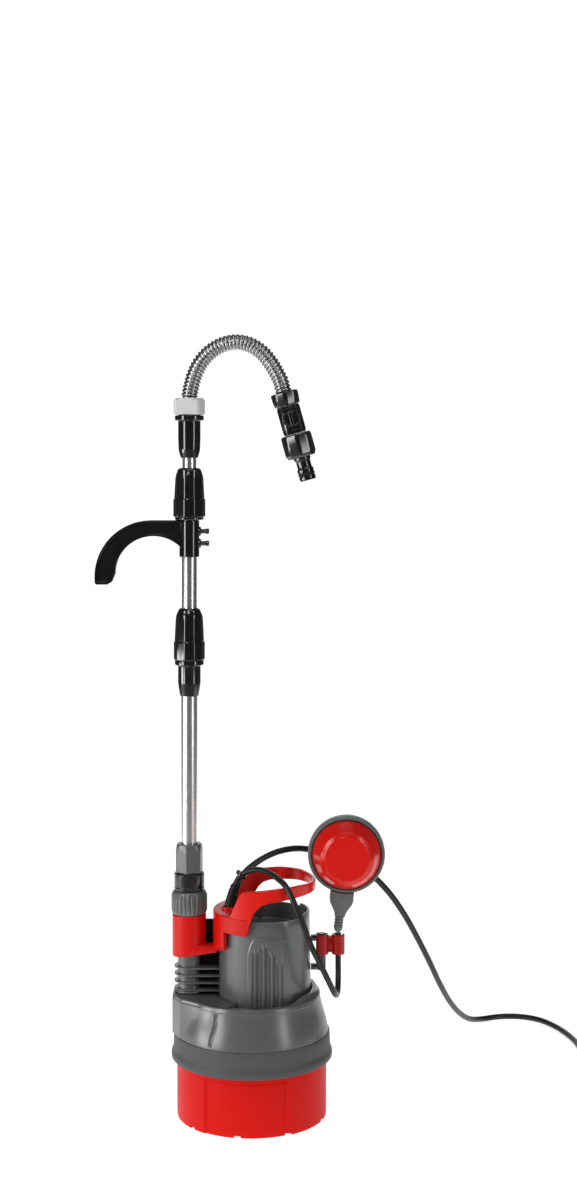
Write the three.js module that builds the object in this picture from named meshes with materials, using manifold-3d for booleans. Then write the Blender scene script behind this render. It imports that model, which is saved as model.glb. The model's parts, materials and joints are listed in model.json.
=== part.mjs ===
// Submersible water-butt pump with a telescopic riser, barrel hook, flexible hose and float switch.
// Millimetres, +Z up. The origin is the centre of the base, on the floor the pump stands on.
// +X runs from the outlet (on -X) to the float clip (on +X); -Y is the front.
import * as THREE from 'three';
import { mergeVertices } from 'three/addons/utils/BufferGeometryUtils.js';
import Module from 'manifold-3d';

const wasm = await Module();
wasm.setup();

// ---- Driving dimensions ------------------------------------------------------------------
const GAP = 0.3;               // clearance between pieces that touch

const BASE_R = 77.5;           // red base, outside
const BASE_TOP = 66;           // its rim, hidden in the skirt
const BASE_WALL_R = 75;        // its bore
const PANEL_DEPTH = 1.8;       // how far the three base panels are sunk
const PLATE_Z = 3;             // underside of the strainer plate
const SCREW_CIRCLE_R = 55;

const SKIRT_R = 83.3;          // widest part of the grey bell
const SKIRT_Z = 60;
const RIM_R = 70;              // top rim of the bell
const RIM_Z = 126;
const BELL_DECK_Z = 114;       // floor of the trough inside the rim
const CHAMBER_ROOF_Z = 69.8;   // top face of the deck over the impeller
const MOTOR_X = 13.3;          // motor axis, set off from the base's axis
const CAN_R = 48.9;            // upper housing, at its foot
const CAN_TOP_R = 46.5;
const CAN_TOP_Z = 207;

const RISER_X = -65;           // outlet and riser axis
const PIPE_R = 12;
const COLUMN_R = 17.6;
const COLUMN_TOP_Z = 206;
const UNION_TOP_Z = 230;
const ADAPTER_TOP_Z = 248.5;
const CLAMP_TOP_Z = 278.5;

const TUBE_WALL = 0.4;
const LOWER_TUBE_R = 8.4;
const MIDDLE_TUBE_R = 7.8;
const UPPER_TUBE_R = 7.2;
const LOWER_JOINT_Z = 469;     // top face of the lower sleeve's flange
const MIDDLE_JOINT_Z = 617;
const TOP_SLEEVE_Z = 678.4;
const HOSE_NUT_Z = 723.3;
const HOSE_NUT_TOP_Z = 740.7;
const SLEEVE_FLANGE_R = 15.1;

const COLLAR_R = 10.4;
const HOOK_HALF_THICK = 7;
const SCREW_LEVELS = [602.3, 589.8];
const SCREW_R = 2.1;

const HOSE_R = 8.75;
const VALVE_X = 33;            // where the hose enters the shut-off valve
const VALVE_Z = 747;
const VALVE_TILT = 15.6 * Math.PI / 180;

const RAIL_X = 72.3;           // rail for the float clip
const FLOAT_PIVOT = [89.6, 0, 191];
const FLOAT_LEAN = 6.4 * Math.PI / 180;
const FLOAT_ARM = 76.5;        // pivot to the centre of the float
const FLOAT_R = 40;
const FLOAT_LEAD_R = 3;

const GLAND_BEND_FROM = 205;   // height where the cable sleeves start to bend over
const GLAND_BEND_R = 75;
const GLAND_END = 237;         // length along the sleeve's axis, as a height if it were straight
const TIE_LEAN = 37;           // degrees

const CORD_R = 3.25;
const LEAD_STEPS = 36;
const CORD_STEPS = 42;
const COIL_CENTRE = [452, 150];
const COIL_MID_R = 58.5;
const COIL_HALF_WIDTH = 19.8;
const COIL_HEIGHT = 33;
const PLUG_CENTRE = [448, 258];

// ---- Materials ---------------------------------------------------------------------------
function finish(color, roughness, metalness) {
  return new THREE.MeshStandardMaterial({ color, roughness, metalness });
}

const RED = finish(0xe0190f, 0.35, 0);
const GREY = finish(0x5c5d5d, 0.45, 0);
const LIGHT_GREY = finish(0xc9c9c7, 0.5, 0);
const BLACK = finish(0x121212, 0.22, 0);
const RUBBER = finish(0x1b1b1c, 0.6, 0);
const ALUMINIUM = finish(0xd8d9db, 0.16, 1);
const STEEL = finish(0xb9babc, 0.3, 1);
const COPPER = finish(0xa85d2c, 0.4, 1);
const IRON = finish(0x6f7378, 0.5, 1);

// ---- Solid helpers -----------------------------------------------------------------------
// A closed geometry as a solid with its faces turned outwards.
function solid(geometry) {
  const bare = geometry.clone();
  bare.deleteAttribute('normal');
  bare.deleteAttribute('uv');
  const merged = mergeVertices(bare, 1e-4);
  const vertices = merged.attributes.position.array;
  const corners = merged.index.array;
  const triangles = [];
  const a = new THREE.Vector3();
  const b = new THREE.Vector3();
  const c = new THREE.Vector3();
  let volume = 0;
  for (let i = 0; i < corners.length; i += 3) {
    const [p, q, r] = [corners[i], corners[i + 1], corners[i + 2]];
    if (p === q || q === r || r === p) continue;
    triangles.push(p, q, r);
    a.fromArray(vertices, 3 * p);
    b.fromArray(vertices, 3 * q);
    c.fromArray(vertices, 3 * r);
    volume += a.dot(b.cross(c));
  }
  if (volume < 0) {
    for (let i = 0; i < triangles.length; i += 3) {
      [triangles[i + 1], triangles[i + 2]] = [triangles[i + 2], triangles[i + 1]];
    }
  }
  return new wasm.Manifold(new wasm.Mesh({
    numProp: 3,
    vertProperties: new Float32Array(vertices),
    triVerts: new Uint32Array(triangles),
  }));
}

function toGeometry(shape) {
  const mesh = shape.getMesh();
  const geometry = new THREE.BufferGeometry();
  geometry.setAttribute('position', new THREE.BufferAttribute(new Float32Array(mesh.vertProperties), 3));
  geometry.setIndex(new THREE.BufferAttribute(new Uint32Array(mesh.triVerts), 1));
  geometry.computeVertexNormals();
  return geometry;
}

function piece(name, shape, material) {
  const mesh = new THREE.Mesh(toGeometry(shape), material);
  mesh.name = name;
  return mesh;
}

function join(first, ...others) {
  return others.reduce((whole, next) => whole.add(next), first);
}

function cut(first, ...others) {
  return others.reduce((whole, next) => whole.subtract(next), first);
}

// A profile of [radius, z] points turned about the Z axis through (x, y).
function turned(profile, segments = 24, x = 0, y = 0) {
  const points = profile.map(([r, z]) => new THREE.Vector2(r, z));
  const geometry = new THREE.LatheGeometry(points, segments);
  geometry.rotateX(Math.PI / 2);
  geometry.translate(x, y, 0);
  return solid(geometry);
}

function rod(r, z0, z1, segments = 24, x = 0, y = 0) {
  return turned([[0, z0], [r, z0], [r, z1], [0, z1]], segments, x, y);
}

// A closed ring profile: the outline runs once round the section.
function ring(section, segments = 24, x = 0, y = 0) {
  return turned([...section, section[0]], segments, x, y);
}

function sleeve(rOut, rIn, z0, z1, segments = 24, x = 0, y = 0) {
  return ring([[rIn, z0], [rOut, z0], [rOut, z1], [rIn, z1]], segments, x, y);
}

function outline(points) {
  return new THREE.Shape(points.map(([x, y]) => new THREE.Vector2(x, y)));
}

function prism(shape, z0, z1) {
  const geometry = new THREE.ExtrudeGeometry(shape, { depth: z1 - z0, bevelEnabled: false });
  geometry.translate(0, 0, z0);
  return solid(geometry);
}

// A profile in the XZ plane, extruded along Y between y0 and y1.
function slab(points, y0, y1) {
  const geometry = new THREE.ExtrudeGeometry(outline(points), { depth: y1 - y0, bevelEnabled: false });
  geometry.rotateX(Math.PI / 2);
  geometry.translate(0, y1, 0);
  return solid(geometry);
}

function block(x0, x1, y0, y1, z0, z1) {
  const geometry = new THREE.BoxGeometry(x1 - x0, y1 - y0, z1 - z0);
  geometry.translate((x0 + x1) / 2, (y0 + y1) / 2, (z0 + z1) / 2);
  return solid(geometry);
}

function circlePoints(r, count, x = 0, y = 0, start = 0) {
  const points = [];
  for (let i = 0; i < count; i += 1) {
    const angle = start + (2 * Math.PI * i) / count;
    points.push([x + r * Math.cos(angle), y + r * Math.sin(angle)]);
  }
  return points;
}

// A tube of the given radius along a list of points, with flat ends.
function tubeAlong(points, r, steps, sides, boreR = 0) {
  const curve = new THREE.CatmullRomCurve3(points.map((p) => new THREE.Vector3(...p)), false, 'centripetal');
  const section = outline(circlePoints(r, sides));
  if (boreR > 0) section.holes.push(outline(circlePoints(boreR, sides)));
  return solid(new THREE.ExtrudeGeometry(section, { steps, bevelEnabled: false, extrudePath: curve }));
}

// ---- Base and hydraulics -----------------------------------------------------------------
// The plan of the base wall: three wide panels are sunk between three standing ones.
function basePlan() {
  const frontEdge = -94 * Math.PI / 180;      // middle of the front panel
  const half = 32 * Math.PI / 180;
  const ramp = 2.2 * Math.PI / 180;
  const points = [];
  for (let side = 0; side < 3; side += 1) {
    const middle = frontEdge + (2 * Math.PI * side) / 3;
    const sunk = BASE_R - PANEL_DEPTH;
    for (let i = 0; i <= 5; i += 1) {
      const angle = middle - half + (2 * half * i) / 5;
      points.push([sunk * Math.cos(angle), sunk * Math.sin(angle)]);
    }
    const first = middle + half + ramp;
    const last = middle + (2 * Math.PI) / 3 - half - ramp;
    for (let i = 0; i <= 5; i += 1) {
      const angle = first + ((last - first) * i) / 5;
      points.push([BASE_R * Math.cos(angle), BASE_R * Math.sin(angle)]);
    }
  }
  return points;
}

function baseStrainer() {
  const plan = outline(basePlan());
  plan.holes.push(outline(circlePoints(BASE_WALL_R, 30)));
  const wall = prism(plan, 0, 54);
  const collar = sleeve(BASE_R, BASE_WALL_R, 53.9, BASE_TOP, 30);
  let base = join(wall, collar);
  const slots = 9;
  for (let i = 0; i < slots; i += 1) {
    const geometry = new THREE.BoxGeometry(12, 7, 4);
    geometry.translate(BASE_R - 1, 0, 0);
    geometry.rotateZ((2 * Math.PI * (i + 0.5)) / slots);
    base = base.subtract(solid(geometry));
  }
  return base;
}

function strainerPlate() {
  const plate = join(rod(BASE_WALL_R - 0.9, PLATE_Z, PLATE_Z + 3, 30), rod(14, 0, PLATE_Z + 1, 14));
  const cuts = [];
  const slots = 12;
  for (let i = 0; i < slots; i += 1) {
    const geometry = new THREE.BoxGeometry(24, 5, 8);
    geometry.translate(33, 0, PLATE_Z + 1.5);
    geometry.rotateZ((2 * Math.PI * (i + 0.5)) / slots);
    cuts.push(solid(geometry));
  }
  for (const [x, y] of circlePoints(SCREW_CIRCLE_R, 3)) {
    cuts.push(rod(2.4, PLATE_Z - 1, PLATE_Z + 4, 8, x, y));
  }
  return cut(plate, ...cuts);
}

function baseScrew([x, y]) {
  const profile = [[0, 0.6], [4, 0.6], [4, 2.7], [1.9, 2.7], [1.9, 34], [0, 35.5]];
  return turned(profile, 10, x, y);
}

function suctionCover() {
  const disc = cut(rod(73.6, 38, 41, 30), rod(18, 30, 50, 20, MOTOR_X));
  const bosses = [];
  const holes = [];
  for (const [x, y] of circlePoints(SCREW_CIRCLE_R, 3)) {
    bosses.push(rod(5, PLATE_Z + 3 + GAP, 38.2, 10, x, y));
    holes.push(rod(2.4, PLATE_Z, 37, 8, x, y));
  }
  return cut(join(disc, ...bosses), ...holes);
}

function impeller() {
  const hub = ring([[5.4, 44], [9, 44], [9, 56], [40, 56], [40, 58.5], [5.4, 58.5]], 20);
  const vanes = [];
  for (let i = 0; i < 6; i += 1) {
    const turn = (Math.PI * i) / 3;
    const outer = [];
    const inner = [];
    for (let k = 0; k <= 3; k += 1) {
      const r = 8.5 + (30.5 * k) / 3;
      const sweep = turn + 0.9 * (k / 3);
      outer.push([r * Math.cos(sweep), r * Math.sin(sweep)]);
      inner.unshift([r * Math.cos(sweep + 1.8 / r), r * Math.sin(sweep + 1.8 / r)]);
    }
    vanes.push(prism(outline([...outer, ...inner]), 45, 56.5));
  }
  return join(hub, ...vanes);
}

function impellerNut() {
  const blank = facetedNut([[0, 38.6], [6.6, 38.6], [6.6, 43.2], [0, 43.2]], 6);
  return cut(blank, rod(3.8, 30, 50, 12));
}

// ---- Grey housings -----------------------------------------------------------------------
function lowerHousing() {
  const shell = ring([
    [79, SKIRT_Z], [SKIRT_R, SKIRT_Z], [SKIRT_R, 66], [81.1, 70], [80.6, 88], [72.6, 115],
    [RIM_R, RIM_Z], [67.4, RIM_Z], [67.2, BELL_DECK_Z], [20, BELL_DECK_Z], [20, 110],
    [69, 110], [77.4, 88], [78.2, 68],
  ], 28);
  const roof = rod(79, CHAMBER_ROOF_Z - 3.3, CHAMBER_ROOF_Z, 28);
  const volute = join(
    rod(62, 41.3, CHAMBER_ROOF_Z - 1, 24),
    rod(13, 41.3, CHAMBER_ROOF_Z - 1, 16, RISER_X + 5),
  );
  const waterway = join(
    rod(59, 41, CHAMBER_ROOF_Z - 3.3, 24),
    rod(10.4, 41, CHAMBER_ROOF_Z - 3.3, 16, RISER_X + 5),
  );
  const bossPlan = [[-39, -58], [-72, -32], [-82, -12], [-82, 12], [-72, 32], [-39, 58]];
  const boss = cut(prism(outline(bossPlan), 72, 124), rod(66, 71, 109.9, 28));
  return cut(
    join(shell, roof, cut(volute, waterway), boss),
    rod(9.2, 60, 75, 16, RISER_X),
    rod(PIPE_R + 0.4, CHAMBER_ROOF_Z, 135, 20, RISER_X),
    rod(CAN_R + 0.6, 105, 135, 28, MOTOR_X),
    rod(10.4, 60, 75, 12, MOTOR_X),
  );
}

function upperHousing() {
  const shell = turned([
    [0, 186], [44, 186], [44.6, 70.1], [57, 70.1], [57, 73.5], [CAN_R, 73.5],
    [CAN_TOP_R, CAN_TOP_Z], [43.8, CAN_TOP_Z], [43.8, 189], [0, 189],
  ], 28, MOTOR_X);
  const cableHoles = [rod(5.9, 180, 195, 12, -21.5, 4.6), rod(5.9, 180, 195, 12, -24, -4.6)];
  return cut(shell, ...cableHoles);
}

// ---- Motor -------------------------------------------------------------------------------
function motorCan() {
  return ring([
    [12.2, 73], [43, 73], [43, 150.5], [5.6, 150.5], [5.6, 149.2], [41.5, 149.2], [41.5, 74.5],
    [12.2, 74.5],
  ], 20);
}

function statorWinding() {
  return ring([
    [26.2, 80], [38, 80], [38, 91], [29.4, 91], [29.4, 129], [38, 129], [38, 140], [26.2, 140],
  ], 20);
}

function motorShaft() {
  return turned([
    [0, 37.5], [3.4, 37.5], [3.4, 43.5], [5, 43.5], [5, 148.6], [0, 148.6],
  ], 16);
}

function bearing(z0, z1, rOut) {
  return sleeve(rOut, 5.4, z0, z1, 14);
}

// ---- Outlet ------------------------------------------------------------------------------
function outletPipe() {
  const finLevels = [129.4, 136.9, 144.3, 151.8];
  const thread = 13.4;
  const body = ring([
    [9.5, CHAMBER_ROOF_Z + GAP], [PIPE_R, CHAMBER_ROOF_Z + GAP], [PIPE_R, 206.3], [thread, 207.2],
    [thread, 222], [9.5, 222],
  ], 16, RISER_X);
  const foot = sleeve(16, 10.8, 126.3, 128.2, 16, RISER_X);
  const fins = finLevels.map((z) => prism(finPlan(), z - 0.8, z + 0.8));
  return join(body, foot, ...fins);
}

// A fin is a disc round the pipe with a tongue that stops just short of the motor housing.
function finPlan() {
  const finR = 15.6;
  const clear = CAN_R + 0.7;
  const points = [];
  for (let i = 0; i <= 10; i += 1) {
    const angle = Math.PI / 4 + (1.5 * Math.PI * i) / 10;
    points.push([RISER_X + finR * Math.cos(angle), finR * Math.sin(angle)]);
  }
  for (let i = 0; i <= 4; i += 1) {
    const y = 11 * (i / 2 - 1);
    points.push([MOTOR_X - Math.sqrt(clear * clear - y * y), y]);
  }
  const plan = outline(points);
  plan.holes.push(outline(circlePoints(10.8, 12, RISER_X)));
  return plan;
}

// Column, shelf and half shell in one moulding, with the plate that the cables come through.
function outletCover() {
  const plan = join(
    rod(COLUMN_R, 150, 180, 20, RISER_X),
    block(RISER_X, -36, -COLUMN_R, COLUMN_R, 150, 180),
  );
  const wedge = slab([[-84, 162.5], [-34, 169.5], [-34, 176], [-84, 176]], -20, 20);
  const column = rod(COLUMN_R, 163, COLUMN_TOP_Z, 20, RISER_X);
  const shellOut = 53.6;
  const shell = cut(
    rod(shellOut, 169.5, 211, 28, MOTOR_X),
    rod(CAN_R + 0.6, 160, 207.3, 28, MOTOR_X),
    block(-28.2, 80, -60, 60, 160, 215),
  );
  const plate = cut(
    rod(48.2, 207.3, 211, 28, MOTOR_X),
    block(-8, 80, -60, 60, 200, 215),
  );
  const bosses = join(rod(7.6, 210.9, 214, 12, -21.5, 4.6), rod(7.6, 210.9, 214, 12, -24, -4.6));
  const holes = join(rod(5.9, 200, 216, 12, -21.5, 4.6), rod(5.9, 200, 216, 12, -24, -4.6));
  return cut(
    join(plan.intersect(wedge), column, shell, plate, bosses),
    rod(PIPE_R + 0.6, 150, 210, 16, RISER_X),
    holes,
  );
}

// The handle is a band concentric with the upper housing: two legs rise from the left and meet
// in a level loop on the right.
function carryHandle() {
  const band = sleeve(53, 48.6, 190, 250, 32, MOTOR_X);
  const side = slab([
    [-27.6, 194], [-3, 194], [-1.4, 207.6], [2, 216], [5.8, 222], [11, 226.5], [30, 229.5],
    [47, 231.5], [70, 232.5], [70, 241], [50, 243.5], [28, 242.5], [11, 241], [-4, 237.5],
    [-11, 233], [-19, 215], [-27.6, 199],
  ], -60, 60);
  return band.intersect(side);
}

// Sleeves for both cables: straight through the plate, then bent over towards the handle.
function cableGland() {
  const stem = [
    [0, 176], [5.5, 176], [5.5, 206.4], [4.9, 207], [4.9, 214], [4.8, 219], [4.6, 224], [4.3, 230],
    [4, GLAND_END], [0, GLAND_END],
  ];
  const bent = turned(stem, 12).warp((v) => {
    const angle = Math.max(0, v[2] - GLAND_BEND_FROM) / GLAND_BEND_R;
    const aside = v[0];
    v[0] = GLAND_BEND_R * (1 - Math.cos(angle)) + aside * Math.cos(angle);
    if (angle > 0) v[2] = GLAND_BEND_FROM + GLAND_BEND_R * Math.sin(angle) - aside * Math.sin(angle);
  });
  return join(bent.translate([-21.5, 4.6, 0]), bent.translate([-24, -4.6, 0]));
}

// ---- Riser -------------------------------------------------------------------------------
function facetedNut(profile, sides, start = 0) {
  const points = profile.map(([r, z]) => new THREE.Vector2(r, z));
  const geometry = new THREE.LatheGeometry(points, sides, start);
  geometry.rotateX(Math.PI / 2);
  return solid(geometry);
}

function unionNut() {
  const body = ring([
    [13.9, 206.4], [18.6, 206.4], [18.6, UNION_TOP_Z], [11.8, UNION_TOP_Z],
    [11.8, 226.5], [13.8, 226.5],
  ], 16);
  return body;
}

function riserAdapter() {
  return ring([
    [7.4, 222.4], [13.3, 222.4], [13.3, 226.2], [11.4, 226.2], [11.4, 230.4], [15.6, 230.4],
    [15.6, ADAPTER_TOP_Z], [11, ADAPTER_TOP_Z], [11, 262], [8.7, 262], [8.7, 226.2], [7.4, 226.2],
  ], 16);
}

function riserClampNut() {
  const outside = facetedNut([
    [0, ADAPTER_TOP_Z + GAP], [15.2, ADAPTER_TOP_Z + GAP], [15.2, 270], [13.2, CLAMP_TOP_Z], [0, CLAMP_TOP_Z],
  ], 6, Math.PI / 6);
  return cut(outside, rod(11.4, 240, 264, 20), rod(8.8, 250, 290, 20));
}

function tube(rOut, z0, z1) {
  return sleeve(rOut, rOut - TUBE_WALL, z0, z1, 16);
}

// Sleeve on the top end of the lower tube: a tapered skirt, a flange and a threaded nose.
function lowerSleeve() {
  const z = LOWER_JOINT_Z;
  const bore = LOWER_TUBE_R + GAP;
  const noseBore = MIDDLE_TUBE_R + GAP;
  return ring([
    [bore, 431.5], [9.9, 431.5], [11.8, 445], [11.8, z - 5.5], [SLEEVE_FLANGE_R, z - 4],
    [SLEEVE_FLANGE_R, z], [11, z], [11, z + 17], [noseBore, z + 17], [noseBore, z - 6], [bore, z - 6],
  ], 16);
}

function middleSleeve() {
  const z = MIDDLE_JOINT_Z;
  return ring([
    [MIDDLE_TUBE_R + GAP, z - 3], [13.6, z - 3], [SLEEVE_FLANGE_R, z - 1.5], [SLEEVE_FLANGE_R, z],
    [11, z], [11, z + 17], [UPPER_TUBE_R + GAP, z + 17], [UPPER_TUBE_R + GAP, z + 13],
    [MIDDLE_TUBE_R + GAP, z + 13],
  ], 16);
}

function clampNut(tubeR, z, height, bandR, bodyR, topR) {
  const outside = facetedNut([
    [0, z], [bandR, z], [bandR, z + 19], [bodyR, z + 20.5], [bodyR - 1.2, z + height - 9],
    [topR + 0.8, z + height - 1.8], [topR - 1.4, z + height], [0, z + height],
  ], 12, Math.PI / 12);
  return cut(
    outside,
    rod(11.45, z - 1, z + 36, 16),
    rod(tubeR + 0.5, z, z + height + 2, 16),
  );
}

function clampCollet(tubeR, z) {
  const body = ring([
    [tubeR + GAP, z], [10.6, z], [10.6, z + 12], [9.4, z + 15], [tubeR + GAP, z + 15],
  ], 14);
  return cut(body, block(0, 14, -0.6, 0.6, z + 4, z + 20));
}

// ---- Hook --------------------------------------------------------------------------------
function hookClamp() {
  const outer = [];
  const inner = [];
  const arcs = 7;
  for (let i = 0; i <= arcs; i += 1) {
    const angle = Math.PI / 2 + (Math.PI / 2) * (i / arcs);
    outer.push([-40 + 58 * Math.cos(angle), 555.2 + 58.5 * Math.sin(angle)]);
  }
  for (let i = 0; i <= arcs; i += 1) {
    const angle = Math.PI - Math.PI * 0.8 * (i / arcs);
    inner.push([-37 + 39.3 * Math.cos(angle), 559 + 38.4 * Math.sin(angle)]);
  }
  const arm = slab([
    [-1, 613.7], ...outer, [-97.8, 549], [-96.5, 547.2], [-84.6, 547.2], [-80, 550], ...inner, [-1, 580],
  ], -HOOK_HALF_THICK, HOOK_HALF_THICK);
  const collar = rod(COLLAR_R, 575.5, 613.7, 16);
  return cut(
    join(arm, collar),
    rod(MIDDLE_TUBE_R + GAP, 560, 630, 16),
    radialRod(SCREW_R + GAP, 0, 20, SCREW_LEVELS[0]),
    radialRod(SCREW_R + GAP, 0, 20, SCREW_LEVELS[1]),
  );
}

// A round bar along X through the riser's axis.
function radialRod(r, x0, x1, z, sides = 10) {
  const geometry = new THREE.CylinderGeometry(r, r, x1 - x0, sides);
  geometry.rotateZ(Math.PI / 2);
  geometry.translate((x0 + x1) / 2, 0, z);
  return solid(geometry);
}

function hookScrew(z) {
  return join(radialRod(SCREW_R, 8.3, 19, z), radialRod(2.9, 17.4, 20.6, z));
}

function crosswiseRod(r, x, z, y0, y1, sides = 12) {
  const geometry = new THREE.CylinderGeometry(r, r, y1 - y0, sides);
  geometry.translate(x, (y0 + y1) / 2, z);
  return solid(geometry);
}

// ---- Hose and valve ----------------------------------------------------------------------
function topSleeve() {
  return ring([
    [UPPER_TUBE_R + GAP, TOP_SLEEVE_Z], [9.1, TOP_SLEEVE_Z], [11.3, 686], [11.7, 716.5],
    [SLEEVE_FLANGE_R, 718], [SLEEVE_FLANGE_R, 722.6], [11.5, 722.6], [11.5, 734.6], [6.6, 734.6],
    [6.6, 718.4], [UPPER_TUBE_R + GAP, 718.4],
  ], 16);
}

function hoseNut() {
  const across = 14.2;
  const chamfer = 2.6;
  const plan = outline([
    [across, -across + chamfer], [across, across - chamfer], [across - chamfer, across],
    [-across + chamfer, across], [-across, across - chamfer], [-across, -across + chamfer],
    [-across + chamfer, -across], [across - chamfer, -across],
  ]);
  return cut(
    prism(plan, HOSE_NUT_Z, HOSE_NUT_TOP_Z),
    rod(11.95, 700, 738.2, 16),
    rod(HOSE_R + 0.5, 700, 750, 16),
  );
}

// Route of the flexible hose, in the riser's frame.
const HOSE_ROUTE = [
  [0, 0, 737.6], [0.2, 0, 743], [1.9, 0, 752], [5.6, 0, 765], [12.6, 0, 778.6], [24, 0, 790.2],
  [37.5, 0, 797], [51.2, 0, 798.6], [64.4, 0, 795.2], [75.4, 0, 787.8], [84, 0, 777.6],
  [90.2, 0, 767.4], [94.6, 0, 758.6], [96.9, 0, 750.9], [99.2, 0, 742.7],
];

function valveCap() {
  const outside = facetedNut([[0, 0.4], [14.4, 0.4], [14.8, 2], [13.6, 14.6], [0, 14.6]], 8, Math.PI / 8);
  return cut(outside, rod(7.6, -2, 20, 16), rod(HOSE_R + 0.9, -2, 6, 16));
}

function valveBody() {
  const half = 11.6;
  const bevel = 4;
  const plan = outline([
    [half, -half + bevel], [half, half - bevel], [half - bevel, half], [-half + bevel, half],
    [-half, half - bevel], [-half, -half + bevel], [-half + bevel, -half], [half - bevel, -half],
  ]);
  const stemHole = crosswiseRod(3.4, 0, 29, -14, 0);
  return cut(prism(plan, 14.9, 45), rod(5.5, 10, 50, 16), stemHole);
}

function valveKnob() {
  const grip = join(crosswiseRod(8.2, 0, 29, -15.5, -12.1, 20), block(-2, 2, -18.5, -15, 21.6, 36.4));
  return join(grip, crosswiseRod(3, 0, 29, -12.6, -6));
}

function outletNut() {
  const outside = facetedNut([
    [0, 45.3], [15.4, 45.3], [16.4, 47], [16.4, 66], [14.4, 70.4], [0, 70.4],
  ], 8, Math.PI / 8);
  return cut(outside, rod(10.2, 40, 67, 16), rod(9.2, 50, 80, 16));
}

function quickNipple() {
  return ring([
    [5.2, 46], [9.8, 46], [9.8, 66.6], [8.8, 66.6], [8.8, 73], [7.6, 75], [7.6, 81.5], [8.7, 83],
    [8.7, 86.6], [7.4, 86.6], [7.4, 90], [8.7, 90], [8.7, 95], [5.2, 95],
  ], 16);
}

// ---- Float switch ------------------------------------------------------------------------
// Turned about the Y axis, with y along the float's thickness and its centre at (0, 0, FLOAT_ARM).
function floatShell(profile) {
  const points = profile.map(([r, y]) => new THREE.Vector2(r, y));
  const geometry = new THREE.LatheGeometry(points, 28);
  geometry.translate(0, 0, FLOAT_ARM);
  return solid(geometry);
}

function floatFront() {
  return floatShell([
    [0, -27], [23, -27], [27, -24.5], [35.6, -5.3], [33.8, -5.3], [25.6, -23.4], [22.6, -25.2], [0, -25.2],
  ]);
}

function floatRear() {
  return floatShell([
    [0, 20], [25, 20], [36, 13.5], [FLOAT_R, 7], [FLOAT_R, -5], [33.6, -5], [33.6, -3.4],
    [38.2, -3.4], [38.2, 6.4], [24.6, 18.2], [0, 18.2],
  ]);
}

function floatBoot() {
  const body = slab([[-12.2, 41], [-12.2, 28], [-5.6, 15], [-5.2, 12], [5.2, 12], [5.6, 15], [12.2, 28],
    [12.2, 41]], -6, 6);
  const relief = turned([
    [0, -4.8], [2.4, -4.16], [4.16, -2.4], [4.8, 0], [4.8, 13], [0, 13],
  ], 12);
  const rim = new THREE.CylinderGeometry(FLOAT_R + GAP, FLOAT_R + GAP, 30, 28);
  rim.translate(0, 0, FLOAT_ARM);
  return cut(join(body, relief), solid(rim));
}

function clipRail() {
  const post = (z) => block(60.9 + GAP, RAIL_X, -3, 3, z - 3, z + 3);
  const bar = rod(4.4, 147, 188.5, 16, RAIL_X);
  return join(bar, post(180.3), post(150.5));
}

function floatClip() {
  const leadX = FLOAT_PIVOT[0];
  const body = join(
    rod(7.4, 163.5, 184, 20, RAIL_X),
    rod(6.8, 163.5, 184, 20, leadX),
    block(RAIL_X + 4, leadX - 3, -2.6, 2.6, 165.5, 182),
  );
  return cut(
    body,
    rod(4.8, 160, 190, 16, RAIL_X),
    rod(3.6, 160, 190, 16, leadX),
    block(55, RAIL_X, -3.4, 3.4, 160, 190),
    block(leadX, leadX + 12, 1.4, 12, 160, 190),
  );
}

// ---- Leads -------------------------------------------------------------------------------
const FLOAT_LEAD_ROUTE = [
  [-17.15, -4.6, 236.3], [-15.6, -4.6, 239.7], [-11.7, -4.6, 245.3], [-5.6, -7.4, 250.3],
  [2.4, -13, 253.6], [11, -20.5, 254.9], [20.5, -31, 253.4], [29.8, -42.5, 249.3],
  [34, -48.3, 246.6], [38.4, -54, 240.8], [43.2, -58.6, 231.8], [47.8, -61.5, 221.9],
  [52.3, -62.5, 210.9], [57.5, -62, 196.7], [62.5, -60.2, 184], [68.2, -57.6, 172.6],
  [73.8, -54.6, 160.4], [79.6, -50, 147.4], [83.7, -43.3, 137.4], [86.3, -33, 130.7],
  [88, -21.7, 128.9], [89.1, -10.4, 133.2], [89.55, -3, 142], [89.6, 0, 153.5], [89.6, 0, 164],
  [89.6, 0, 185.6],
];

const MAINS_ROUTE = [
  [-14.65, 4.6, 236.3], [-12.9, 4.5, 239.8], [-8.6, 4.5, 245.7], [-1.6, 7.6, 251.6],
  [9.1, 14.5, 257.9], [25.7, 26, 263.3], [45.1, 36, 264.8], [62, 42.5, 262], [80, 48, 256.2],
  [103, 53.5, 246.4], [126, 60, 231.8], [146, 70, 210], [164, 84, 182], [180, 103, 150.6],
  [195, 128, 117.5], [209, 160, 84], [223, 196, 54], [238, 233, 29], [254, 266, 11.5],
  [271, 290, 4.2], [293, 301, 3.4], [317, 301, 3.4], [338, 289, 3.4], [353, 266, 3.4],
  [363.5, 237, 3.4], [369.5, 208, 3.4], [372.3, 174, 3.4],
];

function cordCoil() {
  const [x, y] = COIL_CENTRE;
  const outer = COIL_MID_R + COIL_HALF_WIDTH;
  const inner = COIL_MID_R - COIL_HALF_WIDTH;
  const edge = 6;
  return ring([
    [inner, edge], [inner + edge, 0], [outer - edge, 0], [outer, edge], [outer, COIL_HEIGHT - edge],
    [outer - edge, COIL_HEIGHT], [inner + edge, COIL_HEIGHT], [inner, COIL_HEIGHT - edge],
  ], 24, x, y);
}

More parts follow.
